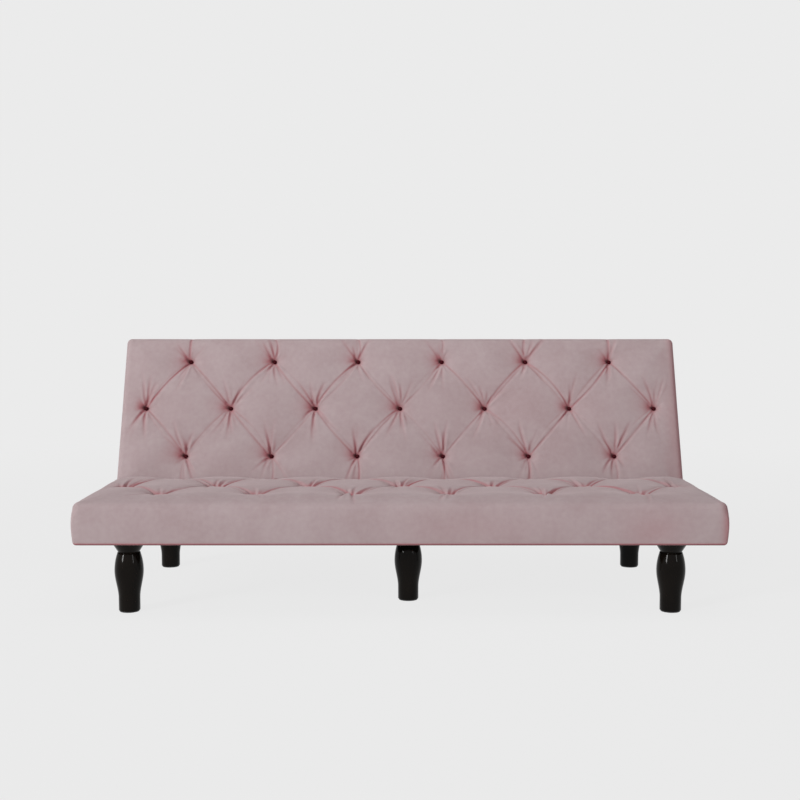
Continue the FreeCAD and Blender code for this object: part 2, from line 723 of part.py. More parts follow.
def leg_places():
    """Each leg's name with its x and its setback, as expressions."""
    return {
        "front_left": (f"-{RAIL_X}", "dims.front_leg_setback"),
        "front_right": (RAIL_X, "dims.front_leg_setback"),
        "centre": ("dims.centre_leg_offset", "dims.centre_leg_setback"),
        "rear_left": (f"-{RAIL_X}", "dims.rear_leg_setback"),
        "rear_right": (RAIL_X, "dims.rear_leg_setback"),
    }


def leg_numbers():
    """Each leg's x and setback, in numbers."""
    return [(size(x), size(y)) for x, y in leg_places().values()]


def tangent_radius(rise, run):
    """Radius of an arc that starts upright and moves sideways by rise over run."""
    return f"((({rise})^2 + ({run})^2) / (2 * ({rise})))"


def turned_leg(place, x, setback):
    """A turned leg: straight foot, swelling belly, short neck, hollow and rim, with a blind hole for its stud."""
    foot = "(dims.leg_foot_diameter / 2)"
    belly = "(dims.leg_belly_diameter / 2)"
    neck = "(dims.leg_neck_diameter / 2)"
    rim = "(dims.leg_rim_diameter / 2)"
    bore = "(dims.stud_diameter / 2 + dims.stud_clearance)"
    half_swell = f"(({belly} - {foot}) / 2)"
    half_climb = "((dims.leg_belly_height - dims.leg_foot_height) / 2)"
    rim_z = "(dims.leg_height - dims.leg_rim_height)"
    neck_top = f"({rim_z} - dims.leg_cove_height)"
    neck_low = f"({neck_top} - dims.leg_neck_length)"
    hole_z = "(dims.leg_height - dims.stud_depth)"
    points = [
        ("0", "dims.glide_thickness"),
        (foot, "dims.glide_thickness"),
        (foot, "dims.leg_foot_height"),
        (f"({foot} + {half_swell})", f"(dims.leg_foot_height + {half_climb})"),
        (belly, "dims.leg_belly_height"),
        (neck, neck_low),
        (neck, neck_top),
        (rim, rim_z),
        (rim, "dims.leg_height - dims.leg_rim_chamfer"),
        (f"({rim} - dims.leg_rim_chamfer)", "dims.leg_height"),
        (bore, "dims.leg_height"),
        (bore, hole_z),
        ("0", hole_z),
    ]
    swell = tangent_radius(half_swell, half_climb)
    arcs = {
        2: (swell, 1),
        3: (swell, -1),
        4: (tangent_radius(f"({belly} - {neck})", f"({neck_low} - dims.leg_belly_height)"), -1),
        6: (tangent_radius(f"({rim} - {neck})", "dims.leg_cove_height"), 1),
    }
    body = doc.addObject("PartDesign::Body", f"leg_{place}")
    revolve(body, outline(body, f"leg_{place}_profile", "XZ_Plane", points, arcs))
    keep(body, f"leg_{place}", FRONT.multiply(shift(x, setback)))


def leg_fittings():
    """Glides under the legs, and the plate, stud and nut that join each leg to its tube."""
    half = "(dims.plate_size / 2)"
    body = doc.addObject("PartDesign::Body", "leg_plate")
    corners = [(f"-{half}", f"-{half}"), (half, f"-{half}"), (half, half), (f"-{half}", half)]
    plate_pad = extrude(body, outline(body, "plate_outline", "XY_Plane", corners), "dims.plate_thickness")
    rounding = body.newObject("PartDesign::Fillet", "plate_corners")
    upright = []
    for number, edge in enumerate(plate_pad.Shape.Edges, start=1):
        if abs(edge.tangentAt(edge.FirstParameter).z) > 0.9:
            upright.append(f"Edge{number}")
    rounding.Base = (plate_pad, upright)
    rounding.setExpression("Radius", "dims.plate_corner")
    doc.recompute()
    stud_hole = "(dims.stud_diameter / 2 + dims.stud_clearance)"
    pocket(body, circle(body, "plate_hole", "XY_Plane", ("0", "0"), stud_hole))
    leg_top = size("dims.leg_height")
    wall_top = size(f"{FRAME_BOTTOM_Z} + dims.tube_wall")
    nut_height = size("dims.stud_nut_height")
    nut = hexagon(size("dims.stud_nut_width"), size(stud_hole), nut_height)
    stud_low = size("dims.leg_height - dims.stud_depth + dims.stud_clearance")
    stud_high = wall_top + nut_height + size("dims.tube_wall")
    plates = []
    studs = []
    nuts = []
    glides = []
    for x, y in leg_numbers():
        plates.append(moved(body.Shape, x, y, leg_top))
        studs.append(cylinder(size("dims.stud_diameter / 2"), stud_high - stud_low, (x, y, stud_low)))
        nuts.append(moved(nut, x, y, wall_top))
        glides.append(cylinder(size("dims.glide_diameter / 2"), size("dims.glide_thickness"), (x, y, 0)))
    feature("leg_plates", Part.makeCompound(plates), FRONT)
    feature("leg_studs", Part.makeCompound(studs), FRONT)
    feature("leg_nuts", Part.makeCompound(nuts), FRONT)
    feature("foot_glides", Part.makeCompound(glides), FRONT)


def stud_holes():
    """Holes for the leg studs in the lower walls of the tubes above them."""
    radius = size("dims.stud_diameter / 2 + dims.stud_clearance")
    low = size(FRAME_BOTTOM_Z) - OVERRUN
    height = size("dims.tube_wall") + 2 * OVERRUN
    return [cylinder(radius, height, (x, y, low)) for x, y in leg_numbers()]


def base_frame(seat_pad, tube_us):
    """The base: rails out to the rear legs, tubes round the seat, and what closes and cushions the rails."""
    inset = "(dims.cover_wall + dims.frame_clearance)"
    low = FRAME_BOTTOM_Z
    high = "dims.tube_height"
    half = f"({HALF_WIDTH} - {inset})"
    inner_front = f"({inset} + dims.tube_width)"
    rear = f"(dims.seat_depth - {inset})"
    rail_low = f"({RAIL_X} - dims.rail_width / 2)"
    lift = size(SEAT_BOTTOM_Z)
    drilled = [moved(hole, z=lift) for hole in screw_holes(seat_pad, tube_us)]
    front = tube(
        "seat_front_tube", (f"-{half}", inset, low), (f"2 * {half}", "dims.tube_width", high), 0, drilled
    )
    keep(front, "seat_front_tube", FRONT)
    for side, sign in SIDES.items():
        rail_x = rail_low if sign > 0 else f"(-{rail_low} - dims.rail_width)"
        rail = tube(
            f"base_rail_{side}", (rail_x, inner_front, low),
            ("dims.rail_width", f"{RAIL_END} - {inner_front}", high), 1, stud_holes(),
        )
        keep(rail, f"base_rail_{side}", FRONT)
        end_x = f"({half} - dims.tube_width)" if sign > 0 else f"-{half}"
        end = tube(
            f"seat_end_tube_{side}", (end_x, inner_front, low),
            ("dims.tube_width", f"{rear} - {inner_front}", high), 1,
        )
        keep(end, f"seat_end_tube_{side}", FRONT)
    centre = tube(
        "seat_centre_tube", ("dims.centre_leg_offset - dims.tube_width / 2", inner_front, low),
        ("dims.tube_width", f"{rear} - dims.tube_width - {inner_front}", high), 1, stud_holes(),
    )
    keep(centre, "seat_centre_tube", FRONT)
    rear_low = f"({rear} - dims.tube_width)"
    stub = f"({half} - dims.tube_width - {RAIL_X} - dims.rail_width / 2)"
    pieces = {
        "middle": (f"-{rail_low}", f"2 * {rail_low}"),
        "left": (f"-{half} + dims.tube_width", stub),
        "right": (f"{RAIL_X} + dims.rail_width / 2", stub),
    }
    rear_tubes = []
    for piece, (start, extent) in pieces.items():
        rear_tubes.append(tube(
            f"seat_rear_tube_{piece}", (start, rear_low, low), (extent, "dims.tube_width", high), 0, drilled
        ))
    group = doc.addObject("Part::Compound", "seat_rear_tubes")
    group.Links = rear_tubes
    keep(group, "seat_rear_tubes", FRONT)
    cross = tube(
        "rear_cross_tube", (f"-{rail_low}", "dims.rear_leg_setback - dims.tube_width / 2", low),
        (f"2 * {rail_low}", "dims.tube_width", high), 0,
    )
    keep(cross, "rear_cross_tube", FRONT)
    rail_ends()


def rail_ends():
    """Plastic caps that plug the rails' rear ends, and rubber bumpers that the flat back rests on."""
    rail_x = size(RAIL_X)
    end = size(RAIL_END)
    low = size(FRAME_BOTTOM_Z)
    top = size(RAIL_TOP_Z)
    half = size("dims.rail_width / 2")
    wall = size("dims.tube_wall + dims.cap_clearance")
    caps = []
    bumpers = []
    for sign in SIDES.values():
        x = sign * rail_x
        lid = block((x - half, end, low), (x + half, end + size("dims.cap_thickness"), top))
        plug = block((x - half + wall, end - size("dims.cap_plug"), low + wall), (x + half - wall, end, top - wall))
        caps.append(lid.fuse(plug).removeSplitter())
        seat = (x, size("dims.rear_leg_setback"), top)
        bumpers.append(cylinder(size("dims.bumper_diameter / 2"), size(BUMPER_HEIGHT), seat))
    feature("rail_end_caps", Part.makeCompound(caps), FRONT)
    feature("rail_bumpers", Part.makeCompound(bumpers), FRONT)


def back_frame(back_pad, tube_us):
    """The back's frame: top and bottom tubes, joined by end, side and centre tubes."""
    inset = "(dims.cover_wall + dims.frame_clearance)"
    half = f"({HALF_WIDTH} - {inset})"
    low = back_pad.frame_v
    high = "dims.tube_height"
    top_u = f"(dims.back_length - {inset} - dims.tube_width)"
    start_u = f"({BOTTOM_TUBE_U} + dims.tube_width)"
    drilled = screw_holes(back_pad, tube_us)
    for name, u in (("back_bottom_tube", BOTTOM_TUBE_U), ("back_top_tube", top_u)):
        item = tube(name, (f"-{half}", u, low), (f"2 * {half}", "dims.tube_width", high), 0, drilled)
        keep(item, name, BACK)
    uprights = {"back_centre_tube": "dims.centre_leg_offset - dims.tube_width / 2"}
    side_x = f"({RAIL_X} + dims.hinge_thickness)"
    uprights["back_side_tube_right"] = side_x
    uprights["back_side_tube_left"] = f"(-{side_x} - dims.tube_width)"
    uprights["back_end_tube_right"] = f"({half} - dims.tube_width)"
    uprights["back_end_tube_left"] = f"-{half}"
    for name, x in uprights.items():
        holes = arm_bolt_holes(back_pad) if "side" in name else None
        item = tube(name, (x, start_u, low), ("dims.tube_width", f"{top_u} - {start_u}", high), 1, holes)
        keep(item, name, BACK)


def arm_bolt_places(back_pad):
    """The u and v of the bolts that join a hinge arm to its side tube, as expressions."""
    v = f"({back_pad.frame_v} + dims.tube_height / 2)"
    last = f"({STRAP_END_U} - dims.arm_bolt_end)"
    return [(last, v), (f"({last} - dims.arm_bolt_pitch)", v)]


def arm_bolt_holes(back_pad):
    """Holes for the arm bolts, across the whole pad."""
    radius = size("dims.arm_bolt_diameter / 2 + dims.arm_bolt_clearance")
    half = size(HALF_WIDTH)
    holes = []
    for u, v in arm_bolt_places(back_pad):
        holes.append(cylinder(radius, 2 * half, (-half, size(u), size(v)), (1, 0, 0)))
    return holes


def hinge_arm(side, sign, back_pad):
    """A hinge arm: a notched hub on the pivot, and a strap that steps over the bottom tube to the side tube.

    Its notches, on the hub's lower rim, hold the back flat, reclined and upright. The upright notch is wide enough
    for the back to move forward and lift the pawl out. The body's origin is on the pivot.
    """
    name = f"back_arm_{side}"
    body = doc.addObject("PartDesign::Body", name)
    tube_top = f"({back_pad.frame_v} + dims.tube_height)"
    low_v = f"({back_pad.frame_v} + dims.strap_inset - dims.pivot_rear)"
    high_v = f"({tube_top} - dims.strap_inset - dims.pivot_rear)"
    over_v = f"({tube_top} + dims.strap_clearance - dims.pivot_rear)"
    turn = f"({STRAP_TURN_U} - dims.pivot_inset)"
    end = f"({STRAP_END_U} - dims.pivot_inset)"
    half = "(dims.strap_width / 2)"
    points = [
        ("0", f"-{half}"),
        (turn, over_v),
        (f"({turn} + dims.strap_clearance)", low_v),
        (end, low_v),
        (end, high_v),
        (f"({turn} + dims.pivot_rear)", high_v),
        (f"({turn} + dims.tube_width / 2)", f"({over_v} + dims.tube_width)"),
        ("0", half),
    ]
    thickness = "dims.hinge_thickness"
    extrude(body, outline(body, f"{name}_strap", "YZ_Plane", points), thickness)
    extrude(body, circle(body, f"{name}_hub", "YZ_Plane", ("0", "0"), HUB_RADIUS), thickness)
    pocket(body, circle(body, f"{name}_bore", "YZ_Plane", ("0", "0"), PIN_BORE))
    for index, (u, v) in enumerate(arm_bolt_places(back_pad)):
        place = (f"({u} - dims.pivot_inset)", f"({v} - dims.pivot_rear)")
        hole = "(dims.arm_bolt_diameter / 2 + dims.arm_bolt_clearance)"
        pocket(body, circle(body, f"{name}_bolt_{index}", "YZ_Plane", place, hole))
    angles = ["270", f"(270 - {RECLINE} / 2)", f"(270 - {RECLINE})", f"(270 - {RECLINE} - dims.release_angle)"]
    for index, angle in enumerate(angles):
        pocket(body, hub_notch(body, f"{name}_notch_{index}", angle))
    x = RAIL_X if sign > 0 else f"(-{RAIL_X} - dims.hinge_thickness)"
    keep(body, name, BACK_AT_PIVOT.multiply(shift(x)))


def hub_notch(body, name, angle):
    """A notch in the hub's rim at an angle, square across it and open outwards."""
    floor = f"({HUB_RADIUS} - dims.notch_depth)"
    outside = f"({HUB_RADIUS} + dims.notch_depth / 2)"
    low = "(dims.notch_shift - dims.notch_width / 2)"
    high = "(dims.notch_shift + dims.notch_width / 2)"
    points = []
    for radius, across in ((floor, low), (outside, low), (outside, high), (floor, high)):
        u = f"({radius} * cos({angle}) - {across} * sin({angle}))"
        v = f"({radius} * sin({angle}) + {across} * cos({angle}))"
        points.append((u, v))
    return outline(body, name, "YZ_Plane", points)


def hinge_plate(side, sign):
    """The fixed plate of a hinge, standing on its rail, with an eye for the pivot pin and a hole for the pawl's."""
    name = f"hinge_plate_{side}"
    body = doc.addObject("PartDesign::Body", name)
    eye = "(dims.hinge_eye_diameter / 2)"
    foot = f"-{PIVOT_RISE}"
    shoulder = "(dims.pawl_boss_diameter / 2 - dims.pawl_drop)"
    points = [
        ("-dims.hinge_base_front", foot),
        (HINGE_REAR, foot),
        (HINGE_REAR, shoulder),
        (eye, "0"),
        (f"-{eye}", "0"),
    ]
    thickness = "dims.hinge_thickness"
    extrude(body, outline(body, f"{name}_web", "YZ_Plane", points), thickness)
    extrude(body, circle(body, f"{name}_eye", "YZ_Plane", ("0", "0"), eye), thickness)
    pocket(body, circle(body, f"{name}_bore", "YZ_Plane", ("0", "0"), PIN_BORE))
    pawl_place = ("dims.pawl_setback", "-dims.pawl_drop")
    pocket(body, circle(body, f"{name}_pawl_hole", "YZ_Plane", pawl_place, PAWL_BORE))
    inner = f"({RAIL_X} - dims.washer_thickness - dims.hinge_thickness)"
    x = inner if sign > 0 else f"(-{inner} - dims.hinge_thickness)"
    keep(body, name, PIVOT.multiply(shift(x)))


def pawl_levels():
    """Distances outwards from the rail's middle to the pawl's two faces, as expressions."""
    inner = "((dims.hinge_thickness - dims.pawl_thickness) / 2)"
    return inner, f"({inner} + dims.pawl_thickness)"


def pawl(side, sign):
    """A pawl on its own pin, behind and below the pivot, with a tooth under the hub. Its origin is on its pin."""
    name = f"pawl_{side}"
    body = doc.addObject("PartDesign::Body", name)
    boss = "(dims.pawl_boss_diameter / 2)"
    tip_v = f"(dims.pawl_drop - {HUB_RADIUS} - dims.pawl_tip_gap)"
    tip_u = f"(-dims.pawl_setback - {tip_v} * {TOOTH_LEAN})"
    points = [
        ("0", f"-{boss}"),
        ("0", boss),
        (f"({tip_u} + dims.pawl_tip_width * {TOOTH_HEEL})", f"({tip_v} / {TOOTH_SHOULDER})"),
        (f"({tip_u} + dims.pawl_tip_width / 2)", tip_v),
        (f"({tip_u} - dims.pawl_tip_width / 2)", tip_v),
        (f"({tip_u} - dims.pawl_tip_width * {TOOTH_NOSE})", f"(-{boss} / {LEVER_UNDERCUT})"),
    ]
    thickness = "dims.pawl_thickness"
    extrude(body, outline(body, f"{name}_lever", "YZ_Plane", points), thickness)
    extrude(body, circle(body, f"{name}_boss", "YZ_Plane", ("0", "0"), boss), thickness)
    pocket(body, circle(body, f"{name}_bore", "YZ_Plane", ("0", "0"), PAWL_BORE))
    inner, outer = pawl_levels()
    x = f"({RAIL_X} + {inner})" if sign > 0 else f"(-{RAIL_X} - {outer})"
    keep(body, name, PIVOT.multiply(shift(x, "dims.pawl_setback", "-dims.pawl_drop")))


def pawl_spring(side, sign):
    """A leaf spring, its foot on the rail and its end under the pawl's tooth."""
    name = f"pawl_spring_{side}"
    body = doc.addObject("PartDesign::Body", name)
    boss = "(dims.pawl_boss_diameter / 2)"
    foot = f"-{PIVOT_RISE}"
    end_u = "-dims.pawl_tip_width / 2"
    end_v = f"(-dims.pawl_drop - {boss} / {LEVER_UNDERCUT} - dims.spring_thickness - dims.spring_clearance)"
    bend = "(-dims.hub_diameter / 4)"
    heel = f"({bend} - dims.spring_foot)"
    points = [
        (heel, foot),
        (bend, foot),
        (end_u, end_v),
        (f"({end_u} - dims.spring_thickness / 2)", f"({end_v} + dims.spring_thickness)"),
        (f"({bend} - dims.spring_thickness / 2)", f"({foot} + dims.spring_thickness)"),
        (heel, f"({foot} + dims.spring_thickness)"),
    ]
    extrude(body, outline(body, f"{name}_profile", "YZ_Plane", points), "dims.pawl_thickness")
    inner, outer = pawl_levels()
    x = f"({RAIL_X} + {inner})" if sign > 0 else f"(-{RAIL_X} - {outer})"
    keep(body, name, PIVOT.multiply(shift(x)))


def pin(steps):
    """A turned pin along +X, from (start, end, diameter) steps of expressions."""
    solid = None
    for start, end, diameter in steps:
        low = size(start)
        step = cylinder(size(diameter) / 2, size(end) - low, (low, 0, 0), (1, 0, 0))
        solid = step if solid is None else solid.fuse(step)
    return solid.removeSplitter()


def hinge_pins():
    """Pivot pins with their nuts and washers, and the pawls' pins, at both ends."""
    plate_out = "(-dims.washer_thickness)"
    plate_in = f"({plate_out} - dims.hinge_thickness)"
    nut_in = f"({plate_in} - dims.pin_nut_height)"
    head_in = "(dims.hinge_thickness + dims.axial_clearance)"
    pivot_pin = pin([
        (f"{nut_in} - dims.pin_tail", head_in, "dims.pin_diameter"),
        (head_in, f"{head_in} + dims.pin_head_height", "dims.pin_head_diameter"),
    ])
    pawl_in, pawl_out = pawl_levels()
    pawl_head = f"({pawl_out} + dims.axial_clearance)"
    collar_end = f"({pawl_in} - dims.axial_clearance)"
    pawl_pin = pin([
        (f"{plate_in} - dims.pawl_pin_head_height", plate_in, "dims.pawl_pin_head"),
        (plate_in, pawl_head, "dims.pawl_pin_diameter"),
        (plate_out, collar_end, "dims.pawl_pin_head"),
        (pawl_head, f"{pawl_head} + dims.pawl_pin_head_height", "dims.pawl_pin_head"),
    ])
    bore = size(PIN_BORE)
    across_x = (Y_AXIS, 90)
    nut = moved(hexagon(size("dims.pin_nut_width"), bore, size("dims.pin_nut_height")), x=size(nut_in), turn=across_x)
    disc = cylinder(size("dims.washer_diameter / 2"), size("dims.washer_thickness"), (size(plate_out), 0, 0), (1, 0, 0))
    washer = disc.cut(cylinder(bore, size("dims.washer_thickness"), (size(plate_out), 0, 0), (1, 0, 0)))
    rail_x = size(RAIL_X)
    behind = size("dims.pawl_setback")
    below = -size("dims.pawl_drop")
    groups = {"pawl_pins": [], "hinge_nuts": [], "hinge_washers": []}
    for side, sign in SIDES.items():
        turn = (Z_AXIS, 0 if sign > 0 else 180)
        placed_pin = Part.makeCompound([moved(pivot_pin, sign * rail_x, turn=turn)])
        feature(f"hinge_pin_{side}", placed_pin, PIVOT)
        groups["hinge_nuts"].append(moved(nut, sign * rail_x, turn=turn))
        groups["hinge_washers"].append(moved(washer, sign * rail_x, turn=turn))
        groups["pawl_pins"].append(moved(pawl_pin, sign * rail_x, behind, below, turn))
    for name, solids in groups.items():
        feature(name, Part.makeCompound(solids), PIVOT)


def arm_bolts(back_pad):
    """Bolts and nuts that clamp each hinge arm to its side tube."""
    head_height = size("dims.arm_bolt_head_height")
    across = size("dims.arm_bolt_head")
    grip = size("dims.hinge_thickness + dims.tube_width")
    length = grip + head_height + size("dims.arm_bolt_clearance")
    upright = hexagon(across, 0, head_height).fuse(
        cylinder(size("dims.arm_bolt_diameter / 2"), length, (0, 0, head_height))
    )
    across_x = (Y_AXIS, 90)
    bolt = moved(upright.removeSplitter(), x=-head_height, turn=across_x)
    bore = size("dims.arm_bolt_diameter / 2 + dims.arm_bolt_clearance")
    nut = moved(hexagon(across, bore, head_height), x=grip, turn=across_x)
    bolts = []
    nuts = []
    for sign in SIDES.values():
        turn = (Z_AXIS, 0 if sign > 0 else 180)
        for u, v in arm_bolt_places(back_pad):
            place = (sign * size(RAIL_X), size(u), size(v))
            bolts.append(moved(bolt, *place, turn))
            nuts.append(moved(nut, *place, turn))
    feature("arm_bolts", Part.makeCompound(bolts), BACK)
    feature("arm_nuts", Part.makeCompound(nuts), BACK)


def hinge_slots(length, depth):
    """The cuts in the back pad that leave room for the hinge at each end."""
    half = size("dims.slot_half_width")
    slots = []
    for sign in SIDES.values():
        x = sign * size(RAIL_X)
        slots.append(block((x - half, -OVERRUN, -OVERRUN), (x + half, length, depth)))
    return slots


def rear_panel(slots):
    """The plain covered panel that closes the back pad's rear opening."""
    inset = "(dims.lip_width + dims.panel_clearance)"
    panel = box(
        "back_rear_panel_sheet",
        (f"-{HALF_WIDTH} + {inset}", inset, "0"),
        (f"dims.sofa_width - 2 * {inset}", f"dims.back_length - 2 * {inset}", "dims.lip_thickness"),
    )
    keep(cut("back_rear_panel", panel, tool("back_rear_panel_cuts", slots)), "back_rear_panel", BACK)


def plate_rooms(low, high):
    """Room for each leg plate in the sheets round it, between two heights above the seat's underside."""
    half = size("dims.plate_size / 2 + dims.plate_clearance")
    return [block((x - half, y - half, low), (x + half, y + half, high)) for x, y in leg_numbers()]


def dust_cover():
    """The thin sheet that closes the seat's underside, lying on the cover's lip, cut out round the leg plates."""
    inset = "(dims.cover_wall + dims.soft_clearance)"
    cloth = box(
        "seat_dust_cover_sheet",
        (f"-{HALF_WIDTH} + {inset}", inset, "dims.lip_thickness"),
        (f"dims.sofa_width - 2 * {inset}", f"dims.seat_depth - 2 * {inset}", "dims.dust_thickness"),
    )
    rooms = plate_rooms(0, size(SEAT_FRAME_V) + OVERRUN)
    keep(cut("seat_dust_cover", cloth, tool("seat_dust_cover_cuts", rooms)), "seat_dust_cover", SEAT)


def rail_openings():
    """Openings in the seat cover's rear wall for the two rails."""
    clearance = size("dims.plate_clearance")
    half = size("dims.rail_width / 2") + clearance
    low = size(SEAT_FRAME_V) - size("dims.dust_thickness")
    high = size(f"{SEAT_FRAME_V} + dims.tube_height") + clearance
    front = size("dims.seat_depth / 2")
    rear = size("dims.seat_depth") + OVERRUN
    openings = []
    for sign in SIDES.values():
        x = sign * size(RAIL_X)
        openings.append(block((x - half, front, low), (x + half, rear, high)))
    return openings


def check_and_export():
    """Stop if any object failed, then write one file for each sub-part."""
    doc.recompute()
    for item in doc.Objects:
        if "Invalid" in item.State or "Error" in item.State:
            raise RuntimeError(f"{item.Label} failed: {item.State}")
    for label, item in parts.items():
        if item.Shape.isNull() or not item.Shape.isValid() or not item.Shape.Solids:
            raise RuntimeError(f"{label} has no valid solid")
    os.makedirs("parts", exist_ok=True)
    for label, item in parts.items():
        item.Shape.exportStep(f"parts/{label}.step")


def print_places():
    """Print the pivot places and the sizes that the joints and mounts need."""
    print("nodes", len(parts))
    for name, expression in {
        "pivot y": f"{PIVOT_SETBACK} - {MIDDLE}",
        "pivot z": PIVOT_Z,
        "pawl pin y": f"{PIVOT_SETBACK} - {MIDDLE} + dims.pawl_setback",
        "pawl pin z": f"{PIVOT_Z} - dims.pawl_drop",
        "recline": RECLINE,
        "middle": MIDDLE,
        "back thickness": BACK_THICKNESS,
    }.items():
        print(name, round(size(expression), 3))


def main():
    seat_pad = Pad(
        "seat", "dims.seat_depth", "dims.seat_thickness", SEAT_FRAME_V,
        "dims.seat_front_margin", "dims.seat_rear_margin", SEAT,
    )
    back_pad = Pad(
        "back", "dims.back_length", BACK_THICKNESS, BACK_FRAME_V,
        "dims.back_lower_margin", "dims.back_top_margin", BACK,
    )
    tube_middle = "(dims.cover_wall + dims.frame_clearance + dims.tube_width / 2)"
    seat_tubes = [tube_middle, f"(dims.seat_depth - {tube_middle})"]
    back_tubes = [f"({BOTTOM_TUBE_U} + dims.tube_width / 2)", f"(dims.back_length - {tube_middle})"]
    pad_slots = hinge_slots(size(SLOT_LENGTH), size(SLOT_DEPTH))
    deep_slots = hinge_slots(size(DECK_SLOT_U), size(BACK_THICKNESS))
    plate_cuts = plate_rooms(-OVERRUN, size(SEAT_FRAME_V))

    for place, (x, setback) in leg_places().items():
        turned_leg(place, x, setback)
    leg_fittings()
    base_frame(seat_pad, seat_tubes)
    dust_cover()
    back_frame(back_pad, back_tubes)
    rear_panel(pad_slots)
    button = button_body()
    for pad, tube_us, cover_cuts, inner_cuts in (
        (seat_pad, seat_tubes, rail_openings() + plate_cuts, []),
        (back_pad, back_tubes, pad_slots, deep_slots),
    ):
        pad_deck(pad, tube_us, inner_cuts)
        pad_screws(pad, tube_us)
        pad_foam(pad, inner_cuts)
        pad_cover(pad, cover_cuts)
        pad_buttons(pad, button)
        pad_ties(pad)
    for side, sign in SIDES.items():
        hinge_plate(side, sign)
        hinge_arm(side, sign, back_pad)
        pawl(side, sign)
        pawl_spring(side, sign)
    hinge_pins()
    arm_bolts(back_pad)
    check_and_export()
    print_places()


main()
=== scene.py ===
# Tufted velvet sofa bed: the soft pads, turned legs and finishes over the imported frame
import json
import math

import bmesh
import bpy
import numpy as np
from bpy.props import FloatProperty, FloatVectorProperty, IntProperty, PointerProperty
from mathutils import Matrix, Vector


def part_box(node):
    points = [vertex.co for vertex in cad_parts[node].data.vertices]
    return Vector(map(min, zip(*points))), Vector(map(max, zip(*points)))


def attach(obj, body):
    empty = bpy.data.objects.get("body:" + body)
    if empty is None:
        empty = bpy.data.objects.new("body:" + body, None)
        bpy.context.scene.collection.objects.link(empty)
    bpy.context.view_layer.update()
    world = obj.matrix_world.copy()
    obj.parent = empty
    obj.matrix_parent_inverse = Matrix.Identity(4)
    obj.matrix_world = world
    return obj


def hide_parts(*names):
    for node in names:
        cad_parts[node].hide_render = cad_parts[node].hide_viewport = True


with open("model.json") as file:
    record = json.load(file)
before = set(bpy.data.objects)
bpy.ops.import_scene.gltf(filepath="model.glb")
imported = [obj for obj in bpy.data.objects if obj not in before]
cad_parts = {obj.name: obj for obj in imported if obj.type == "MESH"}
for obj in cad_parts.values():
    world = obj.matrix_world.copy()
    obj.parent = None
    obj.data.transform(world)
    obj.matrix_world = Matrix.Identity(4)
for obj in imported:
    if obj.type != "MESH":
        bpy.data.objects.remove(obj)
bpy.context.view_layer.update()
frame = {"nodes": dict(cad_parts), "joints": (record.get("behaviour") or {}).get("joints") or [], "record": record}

bl_info = {
    "name": "Tufted sofa bed",
    "version": (1, 0, 0),
    "blender": (4, 5, 0),
    "location": "View3D > Sidebar > Sofa bed",
    "description": "Dresses a two-pad click-clack sofa bed with tufted velvet, turned legs and finishes",
    "category": "Object",
}

SEAT_LOW, SEAT_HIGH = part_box("seat_cover")
DUST_LOW, DUST_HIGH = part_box("seat_dust_cover")
BACK_JOINT = next(joint for joint in frame["joints"] if joint["name"] == "back_recline")
PIVOT = np.array(BACK_JOINT["pos_m"], dtype=float)
BACK_LEAN = math.radians(90 - BACK_JOINT["range_deg"][1])

# Places of the pads from the hinge, and of the slots that its arms need in the back pad
PIVOT_ALONG = 0.020
PIVOT_OUT = 0.047
PIVOT_TO_SEAT_FRONT = 0.560632
HINGE_SLOTS = ((-0.778, -0.738), (0.738, 0.778))
SLOT_LENGTH = 0.072
SLOT_DEPTH = 0.074
SLOT_MARGIN = 0.004

# Borders of the pads
SIDE_BULGE = 0.003
PAD_WIDTH = SEAT_HIGH[0] - SEAT_LOW[0] - 2 * SIDE_BULGE
SMALL_CORNER = 0.001
UNDER_CORNER = 0.014
CORNER_DROP = 0.03
LIP_EDGE = 0.0005
HEM_REACH = 0.008
HEM_REAR = 0.42
HEM_FADE = 0.10
# Line of painted shade along the seat's lower border, where the cloth turns under: height, width and inset
HEM_SHADE_HEIGHT = 0.0015
HEM_SHADE_WIDTH = 0.0036
HEM_SHADE_INSET = 0.0095

# The cloth: hollows round the buttons as shares and reaches, soft creases, and what the simulation may do
ROW_COUNTS = (6, 7, 6)
HELD_RADIUS = 0.006
TUFT_HOLLOW = ((0.66, 0.011), (0.34, 0.038))
SOFT_CREASE = 0.0008
SOFT_EDGE_CREASE = 0.0006
SOFT_CREASE_WIDTH = 0.007
SOFT_CREASE_START = 0.02
LARGEST_MOVE = 0.016
CALM_START = 0.012
CALM_RISE = 0.025
CALM_PASSES = 10
CLOTH_SETTINGS = {
    "quality": 5,
    "mass": 0.15,
    "tension_stiffness": 20,
    "compression_stiffness": 20,
    "shear_stiffness": 8,
    "bending_stiffness": 0.15,
    "tension_damping": 8,
    "compression_damping": 8,
    "shear_damping": 8,
    "air_damping": 2,
    "use_pressure": True,
}

# Pleats: ranges of strength, half gap and reach, and the strength left in the middle of a line
CREASE_STRENGTH = (0.30, 1.15)
CREASE_GAP = (0.0030, 0.0105)
CREASE_MIDDLE = 0.35
EDGE_STRENGTH = (0.35, 1.05)
EDGE_GAP = (0.0020, 0.0048)
EDGE_MIDDLE = 0.6
FAN_COUNT = 10
FAN_SPREAD = 0.85
FAN_REACH = (0.050, 0.135)
FAN_STRENGTH = (0.15, 0.80)
PLEAT_BEND = 0.006
SECOND_STRENGTH = (0.10, 0.95)
SECOND_PLACE = (0.15, 0.85)
SECOND_SPREAD = 0.42
VALLEY_WIDTH = 0.017
VALLEY_LEAST = 0.45
# Painted shade on the far wall of a pleat that runs to the left: how far aside and how wide
WALL_SHADE_ASIDE = 0.010
WALL_SHADE_WIDTH = 0.0055
PLEAT_START = 0.008
PLEAT_RISE = 0.012
PLEAT_BORDER = 0.005
